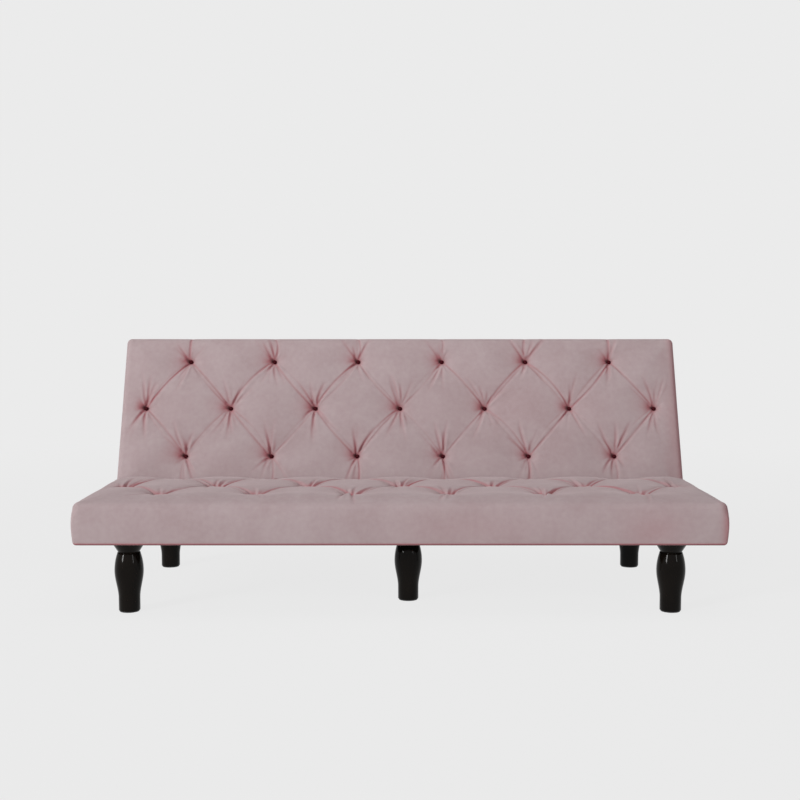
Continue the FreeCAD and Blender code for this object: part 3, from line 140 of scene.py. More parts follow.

# Gathers round a button, and the painted shade of its pit, a red and a dark rim: the red is fullest to the upper
# left, on the slope that faces away from the light
GATHER_HEIGHT = 0.0012
GATHER_REACH = 0.018
PIT_RADIUS = 0.007
PIT_REACH = 0.017
PIT_SHADE = 0.9
PIT_TURN = math.radians(150)
PIT_LEAST = 0.18
RIM_SHADE = 0.7
RIM_REACH = 0.0035

# Painted shade on the velvet: 1 is the red painted into creases and pits, and 2 the darker red-brown painted at
# button rims and along the seat's lower border
DEEPEST_PAINTED_SHADE = 2.0
PAINTED_SLOPE_SHADE = 0.7
PAINTED_SLOPE_BORDER = 0.85
PAINTED_SLOPE_START = 0.012
PAINTED_SLOPE_RISE = 0.03
BRUSH_DEPTH = 0.06
END_SHADE_FADE_START = 0.028
END_SHADE_FADE_LENGTH = 0.120

# Folds and painted shade of each pad. Fold, wall, hem and end shades are painted shade: in the creases, on
# the far walls of creases, along the seat's lower border and at the right end. Pile: painted shade on slopes,
# as share of right slopes, share of low slopes, start and rise. Brushed: place, reach across, reach along and
# shade of each patch of nap brushed the other way; the back's first patch, at its right end, is painted shade.
SEAT_LOOK = {
    "rows": (0.138, 0.298, 0.458),
    "seed": 11,
    "slots": (),
    "low_pleats": False,
    "pleat_scale": 1.8,
    "least_pleat": 0.75,
    "valley": 0.0060,
    "fold_shade": 0.95,
    "wall_shade": 0.68,
    "hem_shade": DEEPEST_PAINTED_SHADE,
    "hem_drop": 0.003,
    "end_shade": 0.70,
    "end_strip": 0.0165,
    "end_fade": 0.70,
    "end_side": 1.0,
    "pile": (0.5, 0.8, 0.20, 0.50),
    "brushed": ((0.690, 0.0, 0.035, 0.085, 0.030, 0.20), (0.20, 0.0, 0.045, 0.20, 0.03, 0.10)),
}
BACK_LOOK = {
    "rows": (0.121, 0.281, 0.441),
    "seed": 23,
    "slots": HINGE_SLOTS,
    "low_pleats": True,
    "pleat_scale": 1.0,
    "least_pleat": 0.0,
    "valley": 0.0012,
    "fold_shade": 0.68,
    "wall_shade": 0.0,
    "hem_shade": 0.0,
    "hem_drop": 0.0,
    "end_shade": 0.55,
    "end_strip": 0.020,
    "end_fade": 0.0,
    "end_side": 0.5,
    "pile": (1.0, 0.25, 0.08, 0.55),
    # The first brushed patch here, at the back's right end, is painted shade.
    "brushed": ((0.885, 0.20, 0.070, 0.030, 0.18, 0.32), (0.42, 0.28, 0.085, 0.25, 0.12, 0.08)),
}

# Legs and buttons
LEG_NODES = ("leg_front_left", "leg_front_right", "leg_centre", "leg_rear_left", "leg_rear_right")
LEG_TURNS = 96
BUTTON_TURNS = 20
POLE_RADIUS = 0.0001
LEG_POLE_MERGE = 0.00021
BUTTON_POLE_MERGE = 0.00025
SEAM_MERGE = 1e-6

# Stage: lamps by name, place and size
LAMP_AIM = (0.0, 0.0, 0.4)
KEY_LAMP = ("key_lamp", (-8.4, -7.8, 4.2), (1.5, 4.6))
FILL_LAMP = ("fill_lamp", (4.5, -5.0, 2.2), (0.5, 2.2))
TOP_LAMP = ("top_lamp", (0.0, -0.4, 3.2), (3.0, 1.6))
FLOOR_REACH = 40.0
CAMERA_PLACE = (0.0, -3.6737, 0.8216)
CAMERA_DIP = 0.0681
SENSOR_WIDTH = 36.0


def measure(name, description, default, unit="LENGTH"):
    """A size or strength that a user may change."""
    return FloatProperty(name=name, description=description, default=default, unit=unit)


def factor(name, description, default):
    """A share that a user may change."""
    return FloatProperty(name=name, description=description, default=default, subtype="FACTOR")


def tint(name, description, default):
    """A colour that a user may change."""
    return FloatVectorProperty(name=name, description=description, default=default, subtype="COLOR", size=3)


class PadProperties(bpy.types.PropertyGroup):
    """Sizes of the two tufted pads."""

    width: measure("Width", "Length of both pads across the sofa", PAD_WIDTH)
    seat_depth: measure("Seat depth", "Seat pad from front to rear", 0.519)
    back_length: measure("Back length", "Back pad from its lower to its upper end", 0.523)
    seat_thickness: measure("Seat thickness", "Seat pad at its border", 0.112)
    back_thickness: measure("Back thickness", "Back pad at its border", 0.0851)
    seat_edge_radius: measure("Seat edge radius", "Rounding along the border of the seat's face", 0.014)
    seat_corner_radius: measure("Seat corner radius", "Rounding of the seat's corners", 0.027)
    back_edge_radius: measure("Back edge radius", "Rounding along the border of the back's face", 0.018)
    back_corner_radius: measure("Back corner radius", "Rounding of the back's corners", 0.018)
    under_radius: measure("Under radius", "Rounding along the border underneath", 0.010)
    side_bulge: measure("Side bulge", "How far the sides swell", SIDE_BULGE)
    lip_width: measure("Lip width", "Cloth turned in underneath", 0.040)
    lip_hem: measure("Lip hem", "Thickness of the turned-in edge", 0.0045)
    seat_crown: measure("Seat crown", "Swell of the seat's face before it is inflated", 0.017)
    back_crown: measure("Back crown", "Swell of the back's face before it is inflated", 0.005)
    crown_rise: measure("Crown rise", "Distance from the border over which a face swells", 0.100)
    tuft_depth: measure("Tuft depth", "Button seat below the border of the face", 0.018)
    button_pitch: measure("Button pitch", "Spacing of the buttons across the sofa", 0.273)
    button_radius: measure("Button radius", "Covered button", 0.0065)
    button_height: measure("Button height", "Covered button over its seat", 0.0085)
    cloth_step: measure("Cloth step", "Spacing of the simulated cloth", 0.006)
    cloth_excess: factor("Cloth excess", "Extra cloth cut for the tufts", 0.016)
    cloth_frames: IntProperty(name="Cloth frames", description="Steps of the simulation", default=20)
    pressure: measure("Pressure", "Push of the foam on the cloth", 3.0, "NONE")
    pleat_depth: measure("Pleat depth", "Depth of the folded creases between buttons", 0.0050)
    pleat_width: measure("Pleat width", "Half width of one crease", 0.0035)


class FinishProperties(bpy.types.PropertyGroup):
    """Colours of the finishes."""

    velvet: tint("Velvet", "Pile seen face on", (0.440, 0.352, 0.360))
    velvet_shade: tint("Velvet shade", "Pile brushed the other way", (0.385, 0.290, 0.297))
    # Painted shade: the red painted into creases, pits, right-facing slopes and the right end
    velvet_painted_red: tint("Velvet fold", "Pile deep in a fold", (0.400, 0.150, 0.165))
    # Painted shade: the dark red-brown painted at button rims and along the seat's lower border
    velvet_painted_dark: tint("Velvet seam", "Pile closed in a seam or at a button", (0.072, 0.023, 0.023))
    # The button's colour is painted shade: far darker than the velvet, for the shade deep in its pit
    button: tint("Button", "Covered button", (0.062, 0.006, 0.010))
    lacquer: tint("Lacquer", "Turned legs", (0.0042, 0.0029, 0.0021))


class StageProperties(bpy.types.PropertyGroup):
    """Light, floor and camera."""

    key: measure("Key light", "Soft lamp at the far left", 870.0, "POWER")
    fill: measure("Fill light", "Soft lamp at the right", 45.0, "POWER")
    top: measure("Top light", "Soft lamp overhead", 21.0, "POWER")
    ambient: measure("Ambient", "Even light from all round", 0.36, "NONE")
    ambient_lean: factor("Ambient lean", "How much more of the even light comes from the left", 0.6)
    background: tint("Background", "Backdrop as the camera sees it", (0.831, 0.831, 0.831))
    lens: measure("Lens", "Focal length in millimetres", 54.72, "CAMERA")


class PadForm:
    """One pad in its own frame: x across, u along, v out of the tufted face."""

    def __init__(self, look, **places):
        self.sizes = bpy.context.scene.sofa_pads
        self.__dict__.update(look, **places)

    def world(self, points):
        """Place = origin + x across + u along + v out."""
        across = np.array((1.0, 0.0, 0.0))
        return (self.origin + points[..., :1] * across + points[..., 1:2] * self.along
                + points[..., 2:3] * self.out)

    def buttons(self):
        """Buttons stand in rows of six, seven and six, a half pitch apart from row to row."""
        places = []
        for count, row in zip(ROW_COUNTS, self.rows):
            steps = np.arange(count) - (count - 1) / 2
            places.append(np.stack([steps * self.sizes.button_pitch, np.full(count, row)], axis=1))
        return np.concatenate(places)


def seat_form():
    """The seat pad lies level, with its tufted face up."""
    sizes = bpy.context.scene.sofa_pads
    return PadForm(
        SEAT_LOOK, length=sizes.seat_depth, thickness=sizes.seat_thickness, crown=sizes.seat_crown,
        edge_radius=sizes.seat_edge_radius, corner_radius=sizes.seat_corner_radius,
        origin=np.array((0.0, PIVOT[1] - PIVOT_TO_SEAT_FRONT, SEAT_LOW[2])),
        along=np.array((0, 1, 0)), out=np.array((0, 0, 1)))


def back_form():
    """The back pad leans on its hinge, with its tufted face to the front."""
    sizes = bpy.context.scene.sofa_pads
    along = np.array((0.0, math.sin(BACK_LEAN), math.cos(BACK_LEAN)))
    out = np.array((0.0, -math.cos(BACK_LEAN), math.sin(BACK_LEAN)))
    return PadForm(
        BACK_LOOK, length=sizes.back_length, thickness=sizes.back_thickness, crown=sizes.back_crown,
        edge_radius=sizes.back_edge_radius, corner_radius=sizes.back_corner_radius,
        origin=PIVOT * (0, 1, 1) - along * PIVOT_ALONG - out * PIVOT_OUT, along=along, out=out)


def sheet_lines(length, radius, step):
    """Lines across a face: even on the flat, and at even angles round the edge at both ends."""
    flat = length - 2 * radius
    count = int(round(flat / step))
    turns = int(math.ceil(radius * math.pi / 2 / step)) + 1
    angles = np.linspace(0, math.pi / 2, turns + 1)[1:]
    even = np.linspace(-flat / 2, flat / 2, count + 1)
    places = np.concatenate([np.full(turns, -flat / 2), even, np.full(turns, flat / 2)])
    bends = np.concatenate([-angles[::-1], np.zeros(count + 1), angles])
    return places, bends


def smooth_face(form):
    """Flat face with rounded border: at the corners, a and b are the sines of the edge angles, squeezed
    from a square into a quarter disc. The height follows a quarter circle of the edge radius over the way
    in from the border."""
    sizes = form.sizes
    radius = form.corner_radius
    edge = form.edge_radius
    x_places, x_bends = sheet_lines(sizes.width, radius, sizes.cloth_step)
    u_places, u_bends = sheet_lines(form.length, radius, sizes.cloth_step)
    x_flat, u_flat = np.meshgrid(x_places, u_places, indexing="ij")
    x_bend, u_bend = np.meshgrid(x_bends, u_bends, indexing="ij")
    a = np.sin(np.abs(x_bend))
    b = np.sin(np.abs(u_bend))
    a_disc = a * np.sqrt(1 - b * b / 2)
    b_disc = b * np.sqrt(1 - a * a / 2)
    x = x_flat + np.sign(x_bend) * radius * a_disc
    u = u_flat + np.sign(u_bend) * radius * b_disc + form.length / 2
    inward = radius * (1 - np.sqrt(np.clip(a_disc ** 2 + b_disc ** 2, 0, 1)))
    v = form.thickness - edge + np.sqrt(edge ** 2 - np.clip(edge - inward, 0, None) ** 2)
    return np.stack([x, u, v], axis=-1)


def nearest_button(form, x, u):
    """Distance in the plane of the face to the nearest button."""
    places = form.buttons()
    gaps = (x[..., None] - places[:, 0]) ** 2 + (u[..., None] - places[:, 1]) ** 2
    return np.sqrt(gaps.min(axis=-1))


def border_gap(form, x, u):
    """Distance in the plane of the face to its border."""
    across = form.sizes.width / 2 - np.abs(x)
    return np.minimum(across, np.minimum(u, form.length - u))


def neighbour_lines(form):
    """Pairs of buttons in neighbouring rows, half a pitch apart across."""
    near_enough = 0.01
    places = form.buttons()
    step = places[None, :, :] - places[:, None, :]
    half_pitch = form.sizes.button_pitch / 2
    row_gap = form.rows[1] - form.rows[0]
    beside = np.abs(np.abs(step[..., 0]) - half_pitch) < near_enough
    first, second = np.nonzero(beside & (np.abs(step[..., 1] - row_gap) < near_enough))
    return places[first], places[second]


def edge_lines(form):
    """Lines from the outer rows straight to the border nearest to them."""
    places = form.buttons()
    low = places[places[:, 1] == form.rows[0]]
    high = places[places[:, 1] == form.rows[2]]
    low_end = np.stack([low[:, 0], np.full(len(low), 0.0)], axis=1)
    high_end = np.stack([high[:, 0], np.full(len(high), form.length)], axis=1)
    if not form.low_pleats:
        return high, high_end
    return np.concatenate([low, high]), np.concatenate([low_end, high_end])


def line_place(x, u, start, end):
    """Share along a line from start to end, and the signed distance from it."""
    step = end - start
    reach = np.hypot(step[0], step[1])
    along = ((x - start[0]) * step[0] + (u - start[1]) * step[1]) / reach ** 2
    aside = ((u - start[1]) * step[0] - (x - start[0]) * step[1]) / reach
    return along, aside


def soft_creases(form, x, u):
    """Shallow valleys, a bell curve wide, along the lines between buttons and out to the border."""
    valley = np.zeros_like(x)
    for lines, depth in ((neighbour_lines(form), SOFT_CREASE), (edge_lines(form), SOFT_EDGE_CREASE)):
        for start, end in zip(*lines):
            along, aside = line_place(x, u, start, end)
            inside = (along > 0) & (along < 1)
            valley = np.maximum(valley, depth * inside * np.exp(-(aside / SOFT_CREASE_WIDTH) ** 2))
    return valley


def grid_faces(columns, rows, first=0):
    """Corner numbers of the squares of a grid that is counted along its second side first."""
    index = np.arange(columns * rows).reshape(columns, rows) + first
    corners = [index[:-1, :-1], index[1:, :-1], index[1:, 1:], index[:-1, 1:]]
    return np.stack(corners, axis=-1).reshape(-1, 4)


def new_mesh(name, points, faces):
    """A mesh from arrays of points and of faces with three or four corners."""
    mesh = bpy.data.meshes.new(name)
    mesh.from_pydata(points.reshape(-1, 3).tolist(), [], faces.tolist())
    mesh.validate()
    mesh.update()
    mesh.shade_smooth()
    return mesh


def new_piece(name, content):
    """An object at the origin that holds a mesh, lamp or camera."""
    piece = bpy.data.objects.new(name, content)
    bpy.context.scene.collection.objects.link(piece)
    return piece


def blown_cloth(sizes, start, cut, held):
    """Where cloth comes to rest that begins at the start, wants the size of its cut, is held at some
    points and is pushed out by the foam."""
    columns, rows = held.shape
    mesh = new_mesh("cloth_cut", start, grid_faces(columns, rows))
    cloth = new_piece("cloth_cut", mesh)
    cloth.shape_key_add(name="start")
    pattern = cloth.shape_key_add(name="pattern")
    pattern.data.foreach_set("co", cut.astype(np.float32).ravel())
    pattern.value = 0.0
    pins = cloth.vertex_groups.new(name="held")
    pins.add(np.flatnonzero(held.ravel()).tolist(), 1.0, "REPLACE")
    simulation = cloth.modifiers.new("Cloth", "CLOTH")
    settings = simulation.settings
    for name, value in CLOTH_SETTINGS.items():
        setattr(settings, name, value)
    settings.vertex_group_mass = "held"
    settings.rest_shape_key = pattern
    settings.uniform_pressure_force = sizes.pressure
    settings.effector_weights.gravity = 0
    simulation.collision_settings.use_collision = False
    simulation.point_cache.frame_start = 1
    simulation.point_cache.frame_end = sizes.cloth_frames
    scene = bpy.context.scene
    for step in range(1, sizes.cloth_frames + 1):
        scene.frame_set(step)
    result = cloth.evaluated_get(bpy.context.evaluated_depsgraph_get())
    places = np.empty(columns * rows * 3, np.float32)
    result.data.vertices.foreach_get("co", places)
    scene.frame_set(1)
    bpy.data.objects.remove(cloth)
    bpy.data.meshes.remove(mesh)
    return places.reshape(columns, rows, 3).astype(float)


def calmed(points, passes):
    """Smooths a grid inside its border: each pass leaves a point half of itself and a quarter of each
    neighbour, along both sides in turn."""
    for _ in range(passes):
        points = points.copy()
        points[1:-1] = points[1:-1] / 2 + (points[:-2] + points[2:]) / 4
        points[:, 1:-1] = points[:, 1:-1] / 2 + (points[:, :-2] + points[:, 2:]) / 4
    return points


def inflated_face(form):
    """The face as cloth, cut a little large, tied down at the buttons and pushed out by the foam. Start =
    smooth face + crown, a sine of the way in from the border, less a hollow round each button, two curves
    that fall off with the distance past it, less soft creases. Away from the buttons the cloth's movement
    is smoothed."""
    sizes = form.sizes
    face = smooth_face(form)
    x, u, v = np.moveaxis(face, -1, 0)
    gap = border_gap(form, x, u)
    button_gap = nearest_button(form, x, u)
    crown = form.crown * np.sin(np.clip(gap / sizes.crown_rise, 0, 1) * math.pi / 2)
    past = np.clip(button_gap - HELD_RADIUS, 0, None)
    pit = (sizes.tuft_depth + crown) * sum(share * np.exp(-past / reach) for share, reach in TUFT_HOLLOW)
    creases = soft_creases(form, x, u) * (1 - np.exp(-button_gap / SOFT_CREASE_START))
    start = face.copy()
    start[..., 2] = v + crown - pit - creases
    cut = face.copy()
    cut[..., 0] = x * (1 + sizes.cloth_excess)
    cut[..., 1] = form.length / 2 + (u - form.length / 2) * (1 + sizes.cloth_excess)
    cut[..., 2] = v + crown
    held = button_gap < HELD_RADIUS
    held[:2] = True
    held[-2:] = True
    held[:, :2] = True
    held[:, -2:] = True
    moved = blown_cloth(sizes, start, cut, held) - start
    reach = np.linalg.norm(moved, axis=-1, keepdims=True)
    moved = moved * np.minimum(1, LARGEST_MOVE / np.maximum(reach, 1e-9))
    open_cloth = np.clip((button_gap - CALM_START) / CALM_RISE, 0, 1)[..., None]
    return start + moved + (calmed(moved, CALM_PASSES) - moved) * open_cloth


def finer(points):
    """Halves the spacing along the first side: a new point is 9/16 of its two neighbours less 1/16 of the
    next."""
    before = np.concatenate([points[:1], points[:-2]])
    after = np.concatenate([points[2:], points[-1:]])
    middle = (9 * (points[:-1] + points[1:]) - before - after) / 16
    fine = np.empty((2 * len(points) - 1,) + points.shape[1:])
    fine[0::2] = points
    fine[1::2] = middle
    return fine


def pleat_lines(form, chance):
    """Every pleat as start, end, strength, half gap of its two creases and strength left in its middle.
    Fans have no gap: they are one crease with a ridge beside it."""
    lines = []
    for start, end in zip(*neighbour_lines(form)):
        strength = chance.uniform(*CREASE_STRENGTH)
        lines.append((start, end, strength, chance.uniform(*CREASE_GAP), CREASE_MIDDLE))
    for start, end in zip(*edge_lines(form)):
        strength = chance.uniform(*EDGE_STRENGTH)
        lines.append((start, end, strength, chance.uniform(*EDGE_GAP), EDGE_MIDDLE))
    for button in form.buttons():
        for number, lean in enumerate(chance.uniform(-FAN_SPREAD, FAN_SPREAD, FAN_COUNT)):
            turn = (number % 2 - 0.5) * math.pi + lean
            reach = chance.uniform(*FAN_REACH)
            end = button + reach * np.array((math.cos(turn), math.sin(turn)))
            lines.append((button, end, chance.uniform(*FAN_STRENGTH), 0.0, 0.0))
    return lines


def sewn_pleat(form, share, aside, parted, middle_strength, side, weaker, second_place):
    """Strength, creases and ridge of a pleat between buttons: two narrow bell curves that part in the
    middle of the line and meet at its ends, the second one weaker and only round its own place, with a
    ridge between them."""
    end_taper = 0.30
    ridge_height = 0.45
    ridge_width = 0.6 * parted + 0.0012
    ends = np.abs(2 * share - 1)
    width = form.sizes.pleat_width * (1 - end_taper * ends)
    strong = middle_strength + (1 - middle_strength) * ends ** 1.5
    first = np.exp(-((side * aside - parted) / width) ** 2)
    second = np.exp(-((side * aside + parted) / width) ** 2 - ((share - second_place) / SECOND_SPREAD) ** 2)
    return strong, np.maximum(first, weaker * second), ridge_height * np.exp(-(aside / ridge_width) ** 2)


def fan_pleat(form, share, aside, side):
    """Strength, crease and ridge of a fan: one bell curve that widens and dies away from its button, with
    a lower one on one side of it."""
    ridge_height = 0.55
    width = form.sizes.pleat_width * (0.75 + 0.9 * share)
    ridge_aside = side * 2.1 * width
    ridge_width = 1.3 * width
    crease = np.exp(-(aside / width) ** 2)
    return (1 - share) ** 0.9, crease, ridge_height * np.exp(-((aside - ridge_aside) / ridge_width) ** 2)


def button_pull(x, u, button, phase):
    """Height of the gathers round a button, and the painted shade of its pit: a red and a dark rim. Gathers
    are two cosines of the angle that die away with the radius. The painted red falls off past the pit and is
    fullest on the side that faces away from the light at the upper left. The painted dark rim falls off faster."""
    far_x = x - button[0]
    far_u = u - button[1]
    radius = np.hypot(far_x, far_u)
    angle = np.arctan2(far_u, far_x)
    gathers = np.cos(9 * angle + phase) + 0.6 * np.cos(14 * angle + 2 * phase)
    near = np.exp(-radius / GATHER_REACH) * np.clip((radius - HELD_RADIUS) / HELD_RADIUS, 0, 1)
    shaded_side_share = PIT_LEAST + (1 - PIT_LEAST) * np.clip(np.cos(angle - PIT_TURN), 0, 1) ** 1.5
    past = np.clip(radius - PIT_RADIUS, 0, None)
    red = np.exp(-past / PIT_REACH) * shaded_side_share * (PIT_SHADE + 0.12 * gathers)
    return GATHER_HEIGHT * gathers * near, red, RIM_SHADE * np.exp(-past / RIM_REACH)


def pleat_field(form, x, u):
    """Height of the sewn pleats, and the painted shade that each point gets in creases and pits. Pleats between
    buttons lie in a wide valley, and the far wall of one that runs to the left gets painted red shade as well.
    Round each button come gathers, the painted red shade of its pit and a painted dark rim."""
    chance = np.random.default_rng(form.seed)
    height = np.zeros_like(x)
    fold = np.zeros_like(x)
    for start, end, strength, gap, middle_strength in pleat_lines(form, chance):
        bend = chance.uniform(-PLEAT_BEND, PLEAT_BEND)
        side = chance.choice((-1.0, 1.0))
        weaker = chance.uniform(*SECOND_STRENGTH)
        second_place = chance.uniform(*SECOND_PLACE)
        along, aside = line_place(x, u, start, end)
        share = np.clip(along, 0, 1)
        bow = np.sin(math.pi * share)
        aside = aside - bend * bow
        inside = (along > 0) & (along < 1)
        if gap > 0:
            strength = max(strength, form.least_pleat)
            parted = gap * bow ** 0.8
            strong, creases, ridge = sewn_pleat(
                form, share, aside, parted, middle_strength, side, weaker, second_place)
            fuller = VALLEY_LEAST + (1 - VALLEY_LEAST) * np.abs(2 * share - 1)
            height -= form.valley * inside * fuller * np.exp(-(aside / VALLEY_WIDTH) ** 2)
        else:
            strong, creases, ridge = fan_pleat(form, share, aside, side)
        # Painted shade on the far wall of a pleat that runs to the left.
        if gap > 0 and end[0] < start[0]:
            wall = bow ** 0.5 * np.exp(-((aside + WALL_SHADE_ASIDE) / WALL_SHADE_WIDTH) ** 2)
            fold = np.maximum(fold, form.wall_shade * strength * inside * wall)
        strong = strong * strength * inside
        height -= form.sizes.pleat_depth * form.pleat_scale * strong * (creases - ridge)
        # Painted shade along the creases.
        fold = np.maximum(fold, form.fold_shade * strong * creases)
    height = height * np.clip((nearest_button(form, x, u) - PLEAT_START) / PLEAT_RISE, 0, 1)
    # Painted shade in each pit: a red fullest to the upper left, and a dark rim.
    for button in form.buttons():
        gathers, red, rim = button_pull(x, u, button, chance.uniform(0, 2 * math.pi))
        height += gathers
        fold = np.maximum(fold, red) + rim
    return height, np.clip(fold, 0, DEEPEST_PAINTED_SHADE)


def nap_and_painted_shade_patches(form, points):
    """Patches where the pile is brushed the other way, and on the back one of painted shade at its right end:
    bell curves round a place on the pad.
    """
    shade = np.zeros(len(points))
    for x, u, v, across, along, depth in form.brushed:
        far = ((points - (x, u, v)) / (across, along, BRUSH_DEPTH)) ** 2
        shade = np.maximum(shade, depth * np.exp(-far.sum(axis=1)))
    return shade


def face_normals(points):
    """Unit cross product of the grid's two side steps."""
    across = np.gradient(points, axis=0)
    along = np.gradient(points, axis=1)
    normals = np.cross(across, along)
    return normals / np.maximum(np.linalg.norm(normals, axis=-1, keepdims=True), 1e-12)


def painted_slope_shade(form, normals, inner):
    """Painted shade by slope: a slope that faces right, away from the light at the left, and inside the border
    also one that faces down the pad, is shaded red. Shade = (right share times x slope, less low share times u
    slope, less the start) over the rise, kept within 0 and 1, and a little weaker at the border."""
    right, low, start, rise = form.pile
    slope = right * normals[..., 0] - low * normals[..., 1] * inner
    return np.clip((slope - start) / rise, 0, 1) * (PAINTED_SLOPE_BORDER + (1 - PAINTED_SLOPE_BORDER) * inner)


def border_order(columns, rows):
    """Numbers of the grid's border points, once round."""
    index = np.arange(columns * rows).reshape(columns, rows)
    return np.concatenate([index[:, 0], index[-1, 1:], index[-2::-1, -1], index[0, -2:0:-1]])


def inset_ring(form, border, inset, height):
    """The border moved in by an inset: its straight runs shorten, and its corners get squarer on the way
    down the side and keep a small radius underneath."""
    half = np.array((form.sizes.width / 2, form.length / 2))
    radius = form.corner_radius
    facing = (border - np.clip(border, radius - half, half - radius)) / radius
    share = np.clip((form.thickness - form.edge_radius - height) / CORNER_DROP, 0, 1)
    squarer = radius + (min(UNDER_CORNER, radius) - radius) * share
    corner = max(squarer - max(inset, 0.0), SMALL_CORNER)
    core = half - inset - corner
    plan = np.clip(border, -core, core) + facing * corner
    return np.column_stack([plan[:, 0], plan[:, 1] + form.length / 2, np.full(len(plan), height)])


def under_profile(form):
    """Inset and height of each ring from the face's border down the side, round underneath and along the
    lip."""
    sizes = form.sizes
    top = form.thickness - form.edge_radius
    low = sizes.under_radius
    down = np.linspace(0, 1, 8)[1:]
    side = [(-sizes.side_bulge * math.sin(math.pi * share), top + (low - top) * share) for share in down]
    turn = np.linspace(0, math.pi / 2, 5)[1:]
    round_under = [(low * (1 - math.cos(angle)), low * (1 - math.sin(angle))) for angle in turn]
    lip = [(inset, 0.0) for inset in np.linspace(low, sizes.lip_width, 4)[1:]]
    if form.hem_drop > 0:
        lip = [(low + HEM_REACH, 0.0)] + lip
    hem = [(sizes.lip_width + LIP_EDGE, sizes.lip_hem), (SLOT_LENGTH + SLOT_MARGIN, sizes.lip_hem)]
    return side + round_under, lip + hem


def hem_sag(form, ring, inset, height):
    """How far the lower border hangs: the share that the border has turned under, times the share of the
    hem's reach that is left, fading out before the rear."""
    low = form.sizes.under_radius
    turned = min(max(1 - height / low, 0), 1)
    left = min(max((low + HEM_REACH - inset) / HEM_REACH, 0), 1)
    front = np.clip((HEM_REAR - ring[:, 1]) / HEM_FADE, 0, 1)
    return form.hem_drop * turned * left * front


def slot_points(form, wall_count, lip_count):
    """Inset and height of the same rings inside a hinge slot: along its ceiling, then down its end."""
    ceiling = [(SLOT_LENGTH * share, SLOT_DEPTH) for share in np.linspace(0.1, 1, wall_count)]
    drop = np.linspace(SLOT_DEPTH, form.sizes.lip_hem, lip_count)
    return ceiling + [(SLOT_LENGTH, height) for height in drop]


def closed_pad(form, top):
    """The face joined to rings round its side and underneath, which close on the middle line of the
    pad."""
    columns, rows = top.shape[:2]
    order = border_order(columns, rows)
    border = top.reshape(-1, 3)[order, :2] - (0.0, form.length / 2)
    wall, lip = under_profile(form)
    inside = slot_points(form, len(wall), len(lip))
    at_front = border[:, 1] < -form.length / 2 + 1e-6
    in_slot = np.zeros(len(border), bool)
    for low, high in form.slots:
        in_slot |= at_front & (border[:, 0] >= low) & (border[:, 0] <= high)
    rings = []
    for (inset, height), (slot_inset, slot_height) in zip(wall + lip, inside):
        ring = inset_ring(form, border, inset, height)
        ring[:, 2] -= hem_sag(form, ring, inset, height)
        ring[in_slot] = inset_ring(form, border, slot_inset, slot_height)[in_slot]
        rings.append(ring)
    reach = form.sizes.width / 2 - form.length / 2
    middle = np.column_stack([
        np.clip(border[:, 0], -reach, reach),
        np.full(len(border), form.length / 2),
        np.full(len(border), form.sizes.lip_hem)])
    rings.append(middle)
    size = len(order)
    numbers = [order]
    numbers += [columns * rows + size * k + np.arange(size) for k in range(len(rings))]
    upper = np.stack(numbers[:-1])
    lower = np.stack(numbers[1:])
    quads = np.stack([upper, lower, np.roll(lower, -1, axis=1), np.roll(upper, -1, axis=1)], axis=-1)
    faces = np.concatenate([grid_faces(columns, rows), quads.reshape(-1, 4)])
    return np.concatenate([top.reshape(-1, 3), *rings]), faces


def merge_close(mesh, distance):
    """Joins points that lie together, so that the seams are closed."""
    work = bmesh.new()
    work.from_mesh(mesh)
    bmesh.ops.remove_doubles(work, verts=work.verts, dist=distance)
    bmesh.ops.dissolve_degenerate(work, edges=work.edges, dist=distance)
    work.to_mesh(mesh)
    work.free()
    mesh.shade_smooth()


def pad_shade(form, points, face_shade):
    """Painted shade of every point: the creases, pits and slopes on the face, a dark line of painted shade
    along the lower border where the cloth turns under, painted shade at the right end, which faces away
    from the light at the left, and the brushed nap patches, whichever is deepest. Line and end are bell
    curves of the height and of the distance from the end."""
    face = len(face_shade)
    side = points[face:]
    # Painted shade: a dark line along the lower border, where the cloth turns under.
    hem = np.exp(-((side[:, 2] + form.hem_drop - HEM_SHADE_HEIGHT) / HEM_SHADE_WIDTH) ** 2)
    hem = hem * (border_gap(form, side[:, 0], side[:, 1]) < HEM_SHADE_INSET)
    shade = np.concatenate([face_shade, hem * form.hem_shade])
    # Painted shade at the right end, which faces away from the light at the left, fading towards the rear.
    from_end = np.clip(form.sizes.width / 2 - points[:, 0], 0, None)
    from_front = np.clip((points[:, 1] - END_SHADE_FADE_START) / END_SHADE_FADE_LENGTH, 0, 1)
    fading = 1 - form.end_fade * from_front
    right_end_painted_shade = form.end_shade * np.exp(-(from_end / form.end_strip) ** 2) * fading
    right_end_painted_shade[face:] *= form.end_side
    return np.maximum(np.maximum(shade, right_end_painted_shade), nap_and_painted_shade_patches(form, points)).astype(np.float32)


